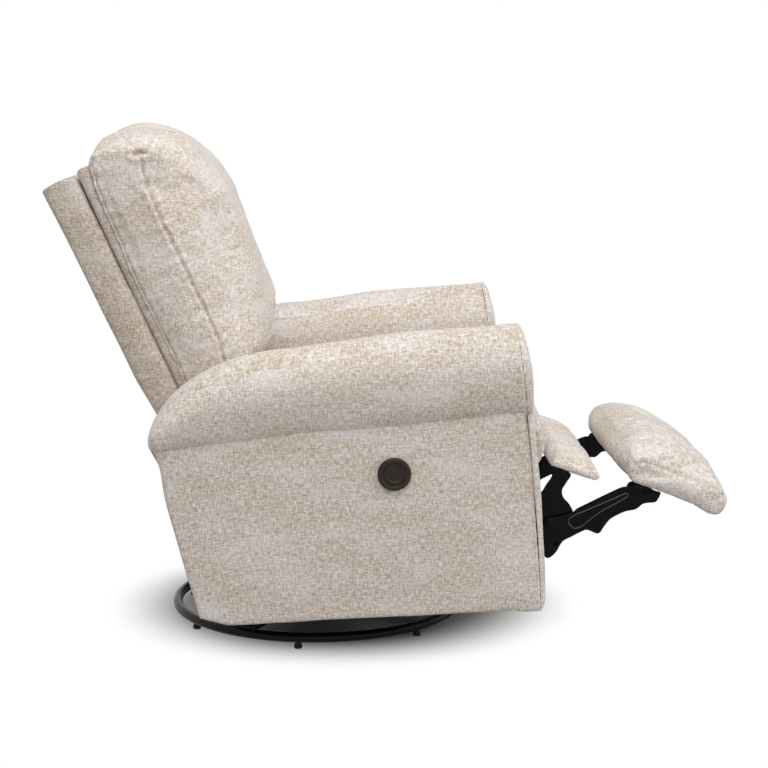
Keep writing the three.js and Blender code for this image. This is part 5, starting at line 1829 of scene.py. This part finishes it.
@dataclass
class Studio:
    """The camera at the photograph's place, the pale floor and the soft lamps."""

    focal_pixels: float = 1849.9
    width_pixels: float = 768.0
    sensor: float = 36.0
    camera: tuple[float, float, float] = (-0.0087, -3.7236, 1.0862)
    turn: float = -0.03886
    pitch: float = 0.16404
    sky: float = 0.47
    # painted shadow: the grey floor colour shows round the chair, and shade_size and shade_reach give the ellipse over
    # which it fades to white
    floor_colour: Colour = (0.42, 0.42, 0.42)
    shade_size: tuple[float, float] = (0.40, 0.38)
    shade_reach: tuple[float, float] = (0.68, 1.26)

    def build(self) -> None:
        """Builds the camera, the world, the floor and the lamps."""
        self.make_camera()
        self.make_world()
        self.make_floor()
        self.make_lamp("overhead", (0.35, -1.35, 4.3), (0, 0, 0.4), 3.4, 117, (0.93, 0.965, 1.0))
        self.make_lamp("front_fill", (4.6, -2.2, 2.6), (0, 0, 0.5), 2.6, 80)
        self.make_lamp("side_fill", (-0.5, -3.1, 3.0), (0, 0, 0.4), 2.4, 25)
        bpy.context.scene.view_settings.view_transform = "Standard"
        log.info("studio built")

    def make_camera(self) -> None:
        """The camera that the floor ring's ellipse and the arms' lines give."""
        data = bpy.data.cameras.new("camera")
        data.sensor_width = self.sensor
        data.lens = self.focal_pixels / self.width_pixels * self.sensor
        data.clip_end = 60
        camera = link(bpy.data.objects.new("camera", data))
        camera.location = place(*self.camera)
        flat = math.cos(self.pitch)
        way = Vector((-math.sin(self.turn) * flat, math.cos(self.turn) * flat, -math.sin(self.pitch)))
        camera.rotation_euler = way.to_track_quat("-Z", "Y").to_euler()
        bpy.context.scene.camera = camera

    def seen(self, graph: Graph) -> bpy.types.NodeSocket:
        """1 for rays that show the surroundings: from the camera, or by reflection or glass."""
        path = graph.add("ShaderNodeLightPath")
        direct = graph.math("MAXIMUM", path.outputs["Is Camera Ray"], path.outputs["Is Glossy Ray"])
        return graph.math("MAXIMUM", direct, path.outputs["Is Transmission Ray"])

    def make_world(self) -> None:
        """A plain white world, dimmer as a lamp than it looks."""
        world = bpy.data.worlds.new("studio")
        world.use_nodes = True
        bpy.context.scene.world = world
        graph = Graph(world.node_tree)
        sky = world.node_tree.nodes["Background"]
        sky.inputs["Color"].default_value = (1, 1, 1, 1)
        strength = graph.math("MULTIPLY_ADD", self.seen(graph), 1 - self.sky, self.sky)
        world.node_tree.links.new(strength, sky.inputs["Strength"])

    def make_floor(self) -> None:
        """A wide floor whose grey round the chair is a painted shadow over the lamps' real shadow, fading to plain
        white away from the chair.
        """
        reach = 24.0
        mesh = bpy.data.meshes.new("studio_floor")
        mesh.from_pydata([(-reach, -reach, 0), (reach, -reach, 0), (reach, reach, 0), (-reach, reach, 0)], [],
                         [(0, 1, 2, 3)])
        floor = link(bpy.data.objects.new("studio_floor", mesh))
        material = bpy.data.materials.new("studio_floor")
        material.use_nodes = True
        graph = Graph(material.node_tree)
        nodes = material.node_tree.nodes
        nodes.remove(nodes["Principled BSDF"])
        paint = graph.add("ShaderNodeBsdfDiffuse", {"Color": (*self.floor_colour, 1)})
        where = graph.add("ShaderNodeTexCoord").outputs["Object"]
        squeezed = graph.add("ShaderNodeVectorMath", {0: where, 1: tuple(place(0.05, 0.05, 0))}, operation="SUBTRACT")
        across = graph.scaled(squeezed.outputs[0], 1 / self.shade_size[0], 1 / self.shade_size[1], 1.0)
        away = graph.add("ShaderNodeVectorMath", {0: across}, operation="LENGTH")
        # painted shadow: grey near the chair and white emission further out, over an ellipse shaped like the chair's
        # shadow
        painted_shadow_fade = graph.add("ShaderNodeMapRange", {
            "Value": away.outputs["Value"], "From Min": self.shade_reach[0], "From Max": self.shade_reach[1],
        }, interpolation_type="SMOOTHSTEP").outputs[0]
        white = graph.add("ShaderNodeEmission", {"Color": (1, 1, 1, 1), "Strength": 1.0})
        far = graph.math("MULTIPLY", painted_shadow_fade, self.seen(graph))
        mixed = graph.add("ShaderNodeMixShader", {0: far, 1: paint.outputs[0], 2: white.outputs[0]})
        material.node_tree.links.new(mixed.outputs[0], nodes["Material Output"].inputs["Surface"])
        mesh.materials.append(material)

    def make_lamp(self, name: str, at: tuple[float, float, float], aim: tuple[float, float, float],
                  size: float, power: float, colour: Colour = (1.0, 1.0, 1.0)) -> None:
        """A square soft lamp.

        Args:
            name: its name.
            at: where it stands.
            aim: what it looks at.
            size: its side.
            power: its watts.
            colour: its light's colour.
        """
        data = bpy.data.lights.new(name, "AREA")
        data.energy = power
        data.color = colour
        data.shape = "SQUARE"
        data.size = size
        lamp = link(bpy.data.objects.new(name, data))
        lamp.location = place(*at)
        lamp.rotation_euler = (place(*aim) - place(*at)).to_track_quat("-Z", "Y").to_euler()


def log_fit() -> None:
    """Logs how far the main soft pieces stand from the solids that they cover."""
    bpy.context.view_layer.update()
    for name, node in (("back_pillow_cover", "back_pillow"), ("seat_cushion_cover", "seat_cushion"),
                       ("main_pad_cover", "main_footrest_pad"), ("middle_pad_cover", "mid_footrest_pad"),
                       ("outer_back_cover", "outer_back")):
        points = coordinates(bpy.data.objects[name].data)
        low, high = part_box(node)
        log.info("%s: low %s, high %s mm from its solid", name, np.round(1000 * (points.min(0) - low), 1),
                 np.round(1000 * (points.max(0) - high), 1))


def write_size() -> None:
    """Updates the view layer."""
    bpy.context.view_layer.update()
    log.info("size written")


def main() -> None:
    """Builds the studio and the chair's pieces in order."""
    logging.basicConfig(level=logging.INFO, format="%(name)s: %(message)s")
    Studio().build()
    finishes = Finishes()
    for side in Side:
        Arm(side, finishes).build()
    PowerSwitch(finishes).build()
    Back(finishes).build()
    Seat(finishes).build()
    Footrest(finishes).build()
    RearPanel(finishes).build()
    FloorRing(finishes).build()
    Mechanism(finishes).build()
    log_fit()
    write_size()


if __name__ == "__main__":
    main()
